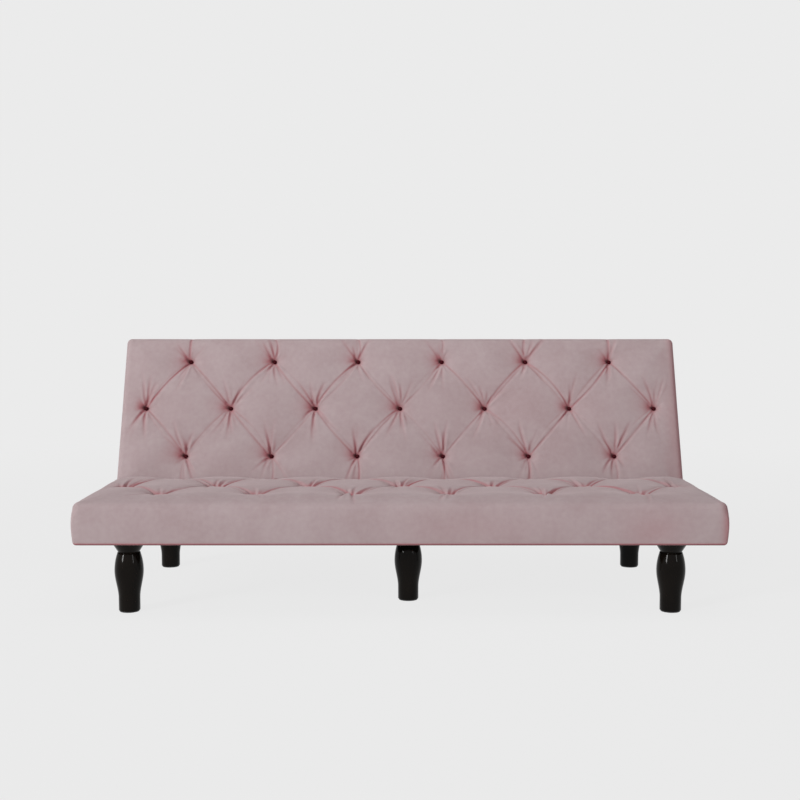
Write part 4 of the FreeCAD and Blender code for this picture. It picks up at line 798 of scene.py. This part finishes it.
def tufted_pad(name, form):
    """A closed tufted pad with its painted shade and brushed nap patches kept as the fold attribute of its
    points. The pleats move the refined cloth along its normals, and fade out at the border."""
    top = finer(inflated_face(form))
    top = finer(top.swapaxes(0, 1)).swapaxes(0, 1)
    height, fold = pleat_field(form, top[..., 0], top[..., 1])
    gap = border_gap(form, top[..., 0], top[..., 1])
    fade = np.clip(gap / PLEAT_BORDER, 0, 1)
    top = top + face_normals(top) * (height * fade)[..., None]
    points, faces = closed_pad(form, top)
    mesh = new_mesh(name, form.world(points), faces)
    # Painted shade on slopes that face right, away from the light, and down the pad.
    slope_shade = painted_slope_shade(form, face_normals(top), np.clip((gap - PAINTED_SLOPE_START) / PAINTED_SLOPE_RISE, 0, 1))
    face_shade = np.clip(fold * fade + PAINTED_SLOPE_SHADE * slope_shade, 0, DEEPEST_PAINTED_SHADE).ravel()
    shade = pad_shade(form, points, face_shade)
    # The fold attribute carries the painted shade, and the brushed nap patches.
    mesh.attributes.new("fold", "FLOAT", "POINT").data.foreach_set("value", shade)
    merge_close(mesh, SEAM_MERGE)
    return new_piece(name, mesh)


def turned_surface(profile, centres, turns):
    """Surfaces of revolution: a profile of radius and height goes round each centre."""
    angle = np.linspace(0, 2 * math.pi, turns, endpoint=False)
    radius = profile[:, 0][:, None]
    ring = np.stack([
        radius * np.cos(angle),
        radius * np.sin(angle),
        np.broadcast_to(profile[:, 1][:, None], (len(profile), turns))], axis=-1)
    index = np.arange(len(profile) * turns).reshape(len(profile), turns)
    after = np.roll(index, -1, axis=1)
    faces = np.stack([index[:-1], after[:-1], after[1:], index[1:]], axis=-1).reshape(-1, 4)
    points = []
    corners = []
    for number, centre in enumerate(centres):
        points.append(ring.reshape(-1, 3) + centre)
        corners.append(faces + number * len(profile) * turns)
    return np.concatenate(points), np.concatenate(corners)


def leg_profile():
    """Foot, long swell, shoulder, neck, cone and rim of a turned leg, as radius and height. The swell
    rises by a smooth step and falls by an arc, and the cone is straight."""
    foot, belly, shoulder, neck, rim = 0.0298, 0.0402, 0.0312, 0.0296, 0.045
    ground, foot_end, belly_height, shoulder_end = 0.003, 0.038, 0.115, 0.1672
    neck_end, cone_end, rim_end, top = 0.1690, 0.1924, 0.2005, 0.202
    ease = 0.0015
    small_ease = 0.0004
    rise = np.linspace(foot_end, belly_height, 24)
    share = (rise - foot_end) / (belly_height - foot_end)
    swell = foot + (belly - foot) * share * share * (3 - 2 * share)
    fall = np.linspace(belly_height, shoulder_end, 16)[1:]
    drop = belly - shoulder
    bow = ((shoulder_end - belly_height) ** 2 + drop ** 2) / (2 * drop)
    round_shoulder = belly - bow + np.sqrt(bow ** 2 - (fall - belly_height) ** 2)
    cone_radius = np.linspace(neck + 0.0003, rim - 0.0003, 10)
    return np.concatenate([
        [(POLE_RADIUS, ground), (foot - ease, ground), (foot - small_ease, ground + small_ease)],
        [(foot, ground + ease)],
        np.column_stack([swell, rise]),
        np.column_stack([round_shoulder, fall]),
        [(neck, shoulder_end + small_ease), (neck, neck_end - small_ease)],
        np.column_stack([cone_radius, np.linspace(neck_end, cone_end, 10)]),
        [(rim, cone_end + 0.0005), (rim, rim_end), (rim - small_ease, rim_end + 0.0009)],
        [(rim - ease, rim_end + 0.0014), (POLE_RADIUS, top)],
    ])


def button_profile(sizes):
    """A covered button: an ellipse a little flattened on top, on a short shank."""
    shank_share = 0.45
    turn = np.linspace(-0.35, math.pi / 2, 10)
    radius = np.maximum(sizes.button_radius * np.cos(turn), POLE_RADIUS)
    height = sizes.button_height * (shank_share + (1 - shank_share) * np.sin(turn))
    return np.concatenate([[(POLE_RADIUS, 0.0)], np.column_stack([radius, height])])


def panel_surface(form):
    """The rear panel as a thin closed cushion: an outer face tucked in along its border by a sine, an
    inner face and a rim. Its lower border goes round the hinge slots."""
    face_height, tuck, tuck_reach, inner_height, slot_end = 0.0002, 0.0016, 0.022, 0.0028, 0.002
    inset = form.sizes.lip_width + LIP_EDGE
    half = form.sizes.width / 2 - form.sizes.lip_width - LIP_EDGE
    high = form.length - form.sizes.lip_width - LIP_EDGE
    x_line = np.linspace(-half, half, 401)
    low = np.full_like(x_line, inset)
    for left, right in HINGE_SLOTS:
        low[(x_line > left - SLOT_MARGIN) & (x_line < right + SLOT_MARGIN)] = SLOT_LENGTH + slot_end
    share = np.linspace(0, 1, 81)
    x = np.repeat(x_line[:, None], len(share), axis=1)
    u = low[:, None] + (high - low[:, None]) * share
    edge = np.minimum(half - np.abs(x), np.minimum(u - low[:, None], high - u))
    tucked = face_height + tuck * (1 - np.sin(np.clip(edge / tuck_reach, 0, 1) * math.pi / 2))
    face = np.stack([x, u, tucked], axis=-1)
    inner = np.stack([x, u, np.full_like(x, inner_height)], axis=-1)
    columns, rows = x.shape
    order = border_order(columns, rows)
    inner_ring = order + columns * rows
    rim = np.stack([order, np.roll(order, -1), np.roll(inner_ring, -1), inner_ring], axis=-1)
    points = np.concatenate([face.reshape(-1, 3), inner.reshape(-1, 3)])
    return points, np.concatenate([
        grid_faces(columns, rows)[:, ::-1], grid_faces(columns, rows, columns * rows), rim])


def dust_surface():
    """The dust sheet: level along its border, and sagging further in by a slack that grows with the
    distance from the border, times one plus a ripple of sines."""
    border, slack_reach, lift, sag, ripple_share = 0.015, 0.12, 0.0006, 0.0016, 0.25
    x_line = np.linspace(DUST_LOW[0], DUST_HIGH[0], 181)
    y_line = np.linspace(DUST_LOW[1], DUST_HIGH[1], 61)
    x, y = np.meshgrid(x_line, y_line, indexing="ij")
    across = np.minimum(x - DUST_LOW[0], DUST_HIGH[0] - x)
    edge = np.minimum(across, np.minimum(y - DUST_LOW[1], DUST_HIGH[1] - y))
    slack = np.clip((edge - border) / slack_reach, 0, 1)
    ripple = ripple_share * np.sin(x * 31 + np.sin(y * 17)) * np.sin(y * 43)
    z = DUST_LOW[2] + lift - sag * slack * (1 + ripple)
    return np.stack([x, y, z], axis=-1), grid_faces(*x.shape)[:, ::-1]


def add_node(tree, kind, place, sockets=None, **settings):
    """A shader node with its settings and the plain values of its sockets."""
    node = tree.nodes.new(kind)
    node.location = place
    for key, value in settings.items():
        setattr(node, key, value)
    set_sockets(node, sockets or {})
    return node


def set_sockets(node, values):
    """Plain values of a node's sockets."""
    for name, value in values.items():
        node.inputs[name].default_value = value


def join(source, leaving, target, entering):
    """A link from one node's output to another node's input, each by its name or number."""
    source.id_data.links.new(source.outputs[leaving], target.inputs[entering])


def new_group(name, inputs, outputs):
    """A node group with its sockets and the two nodes at its ends."""
    group = bpy.data.node_groups.new(name, "ShaderNodeTree")
    for socket in inputs:
        kind = "NodeSocketVector" if socket == "Vector" else "NodeSocketFloat"
        group.interface.new_socket(socket, in_out="INPUT", socket_type=kind)
    for socket in outputs:
        group.interface.new_socket(socket, in_out="OUTPUT", socket_type="NodeSocketFloat")
    return group, add_node(group, "NodeGroupInput", (-700, 0)), add_node(group, "NodeGroupOutput", (500, 0))


def nap_group():
    """Velvet nap: broad brushed patches, small mottling and fine pile, from a place on the cloth."""
    group = bpy.data.node_groups.get("Velvet nap")
    if group:
        return group
    group, enter, leave = new_group("Velvet nap", ("Vector",), ("Tone", "Pile"))
    broad = add_node(
        group, "ShaderNodeTexNoise", (-450, 200), {"Scale": 9.0, "Detail": 3.0, "Distortion": 0.6})
    small = add_node(group, "ShaderNodeTexNoise", (-450, 0), {"Scale": 70.0, "Detail": 4.0})
    pile = add_node(group, "ShaderNodeTexNoise", (-450, -200), {"Scale": 900.0, "Detail": 2.0})
    both = add_node(group, "ShaderNodeMix", (-100, 100), {"Factor": 0.4}, data_type="FLOAT")
    spread = add_node(group, "ShaderNodeMapRange", (150, 100), {"From Min": 0.32, "From Max": 0.68})
    for texture in (broad, small, pile):
        join(enter, "Vector", texture, "Vector")
    join(broad, "Fac", both, "A")
    join(small, "Fac", both, "B")
    join(both, "Result", spread, "Value")
    join(spread, "Result", leave, "Tone")
    join(pile, "Fac", leave, "Pile")
    return group


def wear_group():
    """Handling wear: cloudy smudges and fine grain, from a place on the surface."""
    group = bpy.data.node_groups.get("Handling wear")
    if group:
        return group
    inputs = ("Vector", "Cloud Scale", "Grain Scale")
    group, enter, leave = new_group("Handling wear", inputs, ("Smudge", "Grain"))
    cloud = add_node(group, "ShaderNodeTexNoise", (-300, 150), {"Detail": 5.0})
    grain = add_node(group, "ShaderNodeTexNoise", (-300, -150), {"Detail": 3.0})
    smudge = add_node(group, "ShaderNodeMapRange", (0, 150), {"From Min": 0.35, "From Max": 0.75})
    for texture, scale in ((cloud, "Cloud Scale"), (grain, "Grain Scale")):
        join(enter, "Vector", texture, "Vector")
        join(enter, scale, texture, "Scale")
    join(cloud, "Fac", smudge, "Value")
    join(smudge, "Result", leave, "Smudge")
    join(grain, "Fac", leave, "Grain")
    return group


def empty_tree(owner):
    """The cleared node tree of a material or a world."""
    owner.use_nodes = True
    owner.node_tree.nodes.clear()
    return owner.node_tree


def new_material(name):
    """A material with its shader and its place on the object."""
    material = bpy.data.materials.new(name)
    tree = empty_tree(material)
    output = add_node(tree, "ShaderNodeOutputMaterial", (600, 0))
    shader = add_node(tree, "ShaderNodeBsdfPrincipled", (300, 0))
    place = add_node(tree, "ShaderNodeTexCoord", (-900, 0))
    join(shader, "BSDF", output, "Surface")
    return material, tree, shader, place


def opaque(colour):
    """A colour with full alpha."""
    return (colour[0], colour[1], colour[2], 1.0)


def colour_mix(tree, place, sockets):
    """A node that mixes two colours."""
    return add_node(tree, "ShaderNodeMix", place, sockets, data_type="RGBA")


def bump_from(tree, shader, source, height, strength, distance):
    """Fine relief into the shader's normal."""
    bump = add_node(tree, "ShaderNodeBump", (50, -350), {"Strength": strength, "Distance": distance})
    join(source, height, bump, "Height")
    join(bump, "Normal", shader, "Normal")


def napped(tree, place, dark, light):
    """The nap's group, and a mix of two colours by its tone."""
    nap = add_node(tree, "ShaderNodeGroup", (-650, 100), node_tree=nap_group())
    tone = colour_mix(tree, (-350, 150), {"A": opaque(dark), "B": opaque(light)})
    join(place, "Object", nap, "Vector")
    join(nap, "Tone", tone, "Factor")
    return nap, tone


def velvet_material():
    """Dusty pink velvet: brushed nap and soft sheen. The fold attribute mixes in a red of painted shade in
    creases, pits, on slopes and at the right end, and the brushed nap patches, and from 1 to 2 a dark
    red-brown of painted shade at button rims and along the lower border."""
    material = bpy.data.materials.get("velvet_with_painted_shade")
    if material:
        return material
    finish = bpy.context.scene.sofa_finish
    material, tree, shader, place = new_material("velvet_with_painted_shade")
    nap, tone = napped(tree, place, finish.velvet_shade, finish.velvet)
    fold = add_node(tree, "ShaderNodeAttribute", (-650, -150), attribute_name="fold")
    deep = colour_mix(tree, (-50, 100), {"B": opaque(finish.velvet_painted_red)})
    past = add_node(tree, "ShaderNodeMapRange", (-350, -250), {"From Min": 1.0, "From Max": DEEPEST_PAINTED_SHADE})
    seam = colour_mix(tree, (150, 100), {"B": opaque(finish.velvet_painted_dark)})
    join(tone, "Result", deep, "A")
    join(fold, "Fac", deep, "Factor")
    join(fold, "Fac", past, "Value")
    join(past, "Result", seam, "Factor")
    join(deep, "Result", seam, "A")
    join(seam, "Result", shader, "Base Color")
    set_sockets(shader, {
        "Roughness": 0.85,
        "Specular IOR Level": 0.15,
        "Sheen Weight": 0.25,
        "Sheen Roughness": 0.45,
        "Sheen Tint": (0.95, 0.82, 0.83, 1.0)})
    bump_from(tree, shader, nap, "Pile", 0.25, 0.0008)
    return material


def button_material():
    """Velvet drawn tight over a button, in a far darker colour: painted shade of the bottom of its pit."""
    finish = bpy.context.scene.sofa_finish
    material, tree, shader, place = new_material("button_velvet_painted_shade")
    nap, tone = napped(tree, place, [value * 0.7 for value in finish.button], finish.button)
    join(tone, "Result", shader, "Base Color")
    set_sockets(shader, {"Roughness": 0.8, "Specular IOR Level": 0.06})
    bump_from(tree, shader, nap, "Pile", 0.3, 0.0006)
    return material


def worn_material(name, light, dark, rough, cloud, grain, strength, sockets):
    """A hard finish: smudges move its colour and gloss a little, and grain gives fine relief."""
    material, tree, shader, place = new_material(name)
    scales = {"Cloud Scale": cloud, "Grain Scale": grain}
    wear = add_node(tree, "ShaderNodeGroup", (-650, 0), scales, node_tree=wear_group())
    colour = colour_mix(tree, (-300, 150), {"A": opaque(light), "B": opaque(dark)})
    gloss = add_node(tree, "ShaderNodeMapRange", (-300, -100), {"To Min": rough[0], "To Max": rough[1]})
    join(place, "Object", wear, "Vector")
    join(wear, "Smudge", colour, "Factor")
    join(wear, "Smudge", gloss, "Value")
    join(colour, "Result", shader, "Base Color")
    join(gloss, "Result", shader, "Roughness")
    set_sockets(shader, sockets)
    bump_from(tree, shader, wear, "Grain", strength, 0.0005)
    return material


def hard_finishes():
    """Finishes of the pieces that the frame brings, by their slot. Each has its light and dark colour,
    its least and most roughness, the scales of its smudges and grain, and the strength of the grain."""
    lacquer = bpy.context.scene.sofa_finish.lacquer
    smudged_lacquer = [value * 1.8 for value in lacquer]
    finishes = {
        "black_lacquer": ("leg_lacquer", lacquer, smudged_lacquer, (0.07, 0.13), 14, 260, 0.02),
        "foam": ("foam_block", (0.72, 0.66, 0.50), (0.60, 0.53, 0.38), (0.9, 1.0), 40, 500, 0.6),
        "plywood": ("deck_plywood", (0.55, 0.39, 0.23), (0.40, 0.27, 0.15), (0.6, 0.8), 12, 180, 0.3),
        "twine": ("tie_twine", (0.58, 0.52, 0.42), (0.42, 0.36, 0.27), (0.8, 0.95), 90, 700, 0.5),
        "dust_cloth": (
            "dust_cloth", (0.020, 0.020, 0.021), (0.030, 0.030, 0.031), (0.85, 0.95), 60, 900, 0.5),
        "black_plastic": (
            "moulded_plastic", (0.018, 0.018, 0.019), (0.027, 0.027, 0.028), (0.4, 0.55), 30, 500, 0.15),
        "black_rubber": (
            "moulded_rubber", (0.016, 0.016, 0.016), (0.025, 0.025, 0.025), (0.75, 0.9), 30, 500, 0.3),
        "black_steel": (
            "powder_coat", (0.014, 0.014, 0.015), (0.022, 0.022, 0.023), (0.35, 0.5), 25, 650, 0.25),
        "zinc_steel": ("zinc_plate", (0.60, 0.60, 0.58), (0.48, 0.48, 0.47), (0.28, 0.45), 35, 400, 0.08),
    }
    own_sockets = {"black_lacquer": {"Specular IOR Level": 0.09}, "zinc_steel": {"Metallic": 1.0}}
    return {slot: worn_material(*values, own_sockets.get(slot, {})) for slot, values in finishes.items()}


FINISHES = {}


def hard_finish(slot):
    """The finish of a slot, made the first time that one is asked for."""
    if not FINISHES:
        FINISHES.update(hard_finishes())
    return FINISHES[slot]


def give(piece, material):
    """Sets the only material of a piece."""
    piece.data.materials.clear()
    piece.data.materials.append(material)


class SOFABED_OT_hardware(bpy.types.Operator):
    """Give the frame's tubes, hinges, boards and fastenings their finishes"""

    bl_idname = "sofabed.hardware"
    bl_label = "Hardware finishes"

    def execute(self, context):
        for subpart in frame["record"]["subparts"]:
            slot = subpart["material_slot"]
            node = frame["nodes"][subpart["node"]]
            give(node, velvet_material() if slot == "velvet" else hard_finish(slot))
        return {"FINISHED"}


class SOFABED_OT_seat_pad(bpy.types.Operator):
    """Make the tufted seat pad"""

    bl_idname = "sofabed.seat_pad"
    bl_label = "Seat pad"

    def execute(self, context):
        piece = tufted_pad("seat_pad", seat_form())
        give(piece, velvet_material())
        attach(piece, "base")
        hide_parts("seat_cover", "seat_foam")
        return {"FINISHED"}


class SOFABED_OT_back_pad(bpy.types.Operator):
    """Make the tufted back pad, with room for its hinges"""

    bl_idname = "sofabed.back_pad"
    bl_label = "Back pad"

    def execute(self, context):
        piece = tufted_pad("back_pad", back_form())
        give(piece, velvet_material())
        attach(piece, "back")
        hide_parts("back_cover", "back_foam")
        return {"FINISHED"}


class SOFABED_OT_buttons(bpy.types.Operator):
    """Make the covered buttons of both pads"""

    bl_idname = "sofabed.buttons"
    bl_label = "Buttons"

    def execute(self, context):
        material = button_material()
        for name, body, node, form in (
                ("seat_button_set", "base", "seat_buttons", seat_form()),
                ("back_button_set", "back", "back_buttons", back_form())):
            places = form.buttons()
            depth = np.full((len(places), 1), form.thickness - form.sizes.tuft_depth)
            centres = np.concatenate([places, depth], axis=1)
            points, faces = turned_surface(button_profile(form.sizes), centres, BUTTON_TURNS)
            piece = new_piece(name, new_mesh(name, form.world(points), faces))
            merge_close(piece.data, BUTTON_POLE_MERGE)
            give(piece, material)
            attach(piece, body)
            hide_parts(node)
        return {"FINISHED"}


class SOFABED_OT_rear_panel(bpy.types.Operator):
    """Make the cloth panel behind the back pad"""

    bl_idname = "sofabed.rear_panel"
    bl_label = "Rear panel"

    def execute(self, context):
        form = back_form()
        points, faces = panel_surface(form)
        piece = new_piece("rear_panel_cloth", new_mesh("rear_panel_cloth", form.world(points), faces))
        give(piece, velvet_material())
        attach(piece, "back")
        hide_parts("back_rear_panel")
        return {"FINISHED"}


class SOFABED_OT_dust_sheet(bpy.types.Operator):
    """Make the thin cloth stretched under the seat"""

    bl_idname = "sofabed.dust_sheet"
    bl_label = "Dust sheet"

    def execute(self, context):
        points, faces = dust_surface()
        piece = new_piece("dust_sheet", new_mesh("dust_sheet", points, faces))
        give(piece, hard_finish("dust_cloth"))
        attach(piece, "base")
        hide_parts("seat_dust_cover")
        return {"FINISHED"}


class SOFABED_OT_legs(bpy.types.Operator):
    """Make the five turned legs"""

    bl_idname = "sofabed.legs"
    bl_label = "Legs"

    def execute(self, context):
        for node in LEG_NODES:
            low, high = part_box(node)
            centre = np.array([((low[0] + high[0]) / 2, (low[1] + high[1]) / 2, 0.0)])
            name = "turned_" + node
            points, faces = turned_surface(leg_profile(), centre, LEG_TURNS)
            piece = new_piece(name, new_mesh(name, points, faces))
            merge_close(piece.data, LEG_POLE_MERGE)
            give(piece, hard_finish("black_lacquer"))
            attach(piece, "base")
            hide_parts(node)
        return {"FINISHED"}


def area_lamp(name, place, size, power):
    """A rectangular soft lamp turned to the sofa."""
    light = bpy.data.lights.new(name, "AREA")
    light.shape = "RECTANGLE"
    light.size, light.size_y = size
    light.energy = power
    lamp = new_piece(name, light)
    lamp.location = place
    lamp.rotation_euler = (Vector(LAMP_AIM) - Vector(place)).to_track_quat("-Z", "Y").to_euler()


def seen_by_lens(tree, place):
    """One where the camera, a reflection or a refraction looks, and nought for other light."""
    path = add_node(tree, "ShaderNodeLightPath", (place[0] - 500, place[1]))
    first = add_node(tree, "ShaderNodeMath", (place[0] - 250, place[1]), operation="MAXIMUM")
    second = add_node(tree, "ShaderNodeMath", place, operation="MAXIMUM")
    join(path, "Is Camera Ray", first, 0)
    join(path, "Is Glossy Ray", first, 1)
    join(first, 0, second, 0)
    join(path, "Is Transmission Ray", second, 1)
    return second


def paper_material(background):
    """Pale paper that the lens sees in the backdrop's colour, a little darker near the sofa, and clear
    from below."""
    material = bpy.data.materials.new("studio_paper")
    tree = empty_tree(material)
    output = add_node(tree, "ShaderNodeOutputMaterial", (600, 0))
    mix = add_node(tree, "ShaderNodeMixShader", (350, 0))
    paper = add_node(tree, "ShaderNodeBsdfDiffuse", (0, -150), {"Color": (0.95, 0.95, 0.95, 1.0)})
    glow = add_node(tree, "ShaderNodeEmission", (0, -300), {"Color": opaque(background)})
    place = add_node(tree, "ShaderNodeTexCoord", (-900, 450))
    away = add_node(tree, "ShaderNodeVectorMath", (-700, 450), operation="LENGTH")
    fading = {"From Min": 1.2, "From Max": 4.5, "To Min": 0.94, "To Max": 1.0}
    fade = add_node(tree, "ShaderNodeMapRange", (-450, 450), fading)
    share = add_node(tree, "ShaderNodeMath", (150, 200), operation="MULTIPLY")
    below = add_node(tree, "ShaderNodeNewGeometry", (350, 300))
    clear = add_node(tree, "ShaderNodeBsdfTransparent", (350, -200))
    sided = add_node(tree, "ShaderNodeMixShader", (500, 0))
    join(place, "Object", away, 0)
    join(away, "Value", fade, "Value")
    join(seen_by_lens(tree, (-50, 200)), 0, share, 0)
    join(fade, "Result", share, 1)
    join(share, 0, mix, "Fac")
    join(paper, "BSDF", mix, 1)
    join(glow, "Emission", mix, 2)
    join(below, "Backfacing", sided, "Fac")
    join(mix, "Shader", sided, 1)
    join(clear, "BSDF", sided, 2)
    join(sided, "Shader", output, "Surface")
    return material


def studio_air(stage):
    """Even light that is stronger from the left, and the backdrop's colour where the lens looks."""
    world = bpy.data.worlds.new("studio_air")
    tree = empty_tree(world)
    left = stage.ambient * (1 + stage.ambient_lean)
    right = stage.ambient * (1 - stage.ambient_lean)
    output = add_node(tree, "ShaderNodeOutputWorld", (600, 0))
    mix = add_node(tree, "ShaderNodeMixShader", (350, 0))
    soft = add_node(tree, "ShaderNodeBackground", (0, -100))
    seen = add_node(tree, "ShaderNodeBackground", (0, -250), {"Color": opaque(stage.background)})
    heading = add_node(tree, "ShaderNodeTexCoord", (-800, -100))
    sides = add_node(tree, "ShaderNodeSeparateXYZ", (-600, -100))
    leaning = {"From Min": -1.0, "To Min": left, "To Max": right}
    strength = add_node(tree, "ShaderNodeMapRange", (-350, -100), leaning)
    join(heading, "Generated", sides, 0)
    join(sides, "X", strength, "Value")
    join(strength, "Result", soft, "Strength")
    join(seen_by_lens(tree, (0, 200)), 0, mix, "Fac")
    join(soft, "Background", mix, 1)
    join(seen, "Background", mix, 2)
    join(mix, "Shader", output, "Surface")
    return world


class SOFABED_OT_stage(bpy.types.Operator):
    """Set the pale floor, soft lamps and camera"""

    bl_idname = "sofabed.stage"
    bl_label = "Stage"

    def execute(self, context):
        scene = context.scene
        stage = scene.sofa_stage
        corners = np.array([(-1, -1, 0), (1, -1, 0), (1, 1, 0), (-1, 1, 0)]) * FLOOR_REACH
        floor = new_piece("studio_floor", new_mesh("studio_floor", corners, np.array([(0, 1, 2, 3)])))
        give(floor, paper_material(stage.background))
        scene.world = studio_air(stage)
        area_lamp(*KEY_LAMP, stage.key)
        area_lamp(*FILL_LAMP, stage.fill)
        area_lamp(*TOP_LAMP, stage.top)
        lens = bpy.data.cameras.new("photo_camera")
        lens.lens = stage.lens
        lens.sensor_width = SENSOR_WIDTH
        camera = new_piece("photo_camera", lens)
        camera.location = CAMERA_PLACE
        camera.rotation_euler = (math.pi / 2 - CAMERA_DIP, 0.0, 0.0)
        scene.camera = camera
        scene.view_settings.view_transform = "Standard"
        return {"FINISHED"}


class SOFABED_PT_panel(bpy.types.Panel):
    """Lists the pieces, sizes and finishes"""

    bl_idname = "SOFABED_PT_panel"
    bl_label = "Sofa bed"
    bl_space_type = "VIEW_3D"
    bl_region_type = "UI"
    bl_category = "Sofa bed"

    def draw(self, context):
        layout = self.layout
        for operator in OPERATORS:
            layout.operator(operator.bl_idname)
        for group in (context.scene.sofa_pads, context.scene.sofa_finish, context.scene.sofa_stage):
            box = layout.box()
            for name in group.bl_rna.properties.keys():
                if name not in ("rna_type", "name"):
                    box.prop(group, name)


OPERATORS = (
    SOFABED_OT_hardware,
    SOFABED_OT_seat_pad,
    SOFABED_OT_back_pad,
    SOFABED_OT_buttons,
    SOFABED_OT_rear_panel,
    SOFABED_OT_dust_sheet,
    SOFABED_OT_legs,
    SOFABED_OT_stage,
)
CLASSES = (PadProperties, FinishProperties, StageProperties, *OPERATORS, SOFABED_PT_panel)


def register():
    """Adds the classes and their settings to Blender."""
    for item in CLASSES:
        bpy.utils.register_class(item)
    bpy.types.Scene.sofa_pads = PointerProperty(type=PadProperties)
    bpy.types.Scene.sofa_finish = PointerProperty(type=FinishProperties)
    bpy.types.Scene.sofa_stage = PointerProperty(type=StageProperties)


def unregister():
    """Takes the classes and their settings out again."""
    del bpy.types.Scene.sofa_stage
    del bpy.types.Scene.sofa_finish
    del bpy.types.Scene.sofa_pads
    for item in reversed(CLASSES):
        bpy.utils.unregister_class(item)


def main():
    """Makes every piece and the stage."""
    register()
    bpy.ops.sofabed.hardware()
    bpy.ops.sofabed.seat_pad()
    bpy.ops.sofabed.back_pad()
    bpy.ops.sofabed.buttons()
    bpy.ops.sofabed.rear_panel()
    bpy.ops.sofabed.dust_sheet()
    bpy.ops.sofabed.legs()
    bpy.ops.sofabed.stage()
    bpy.context.view_layer.update()


if __name__ == "__main__":
    main()
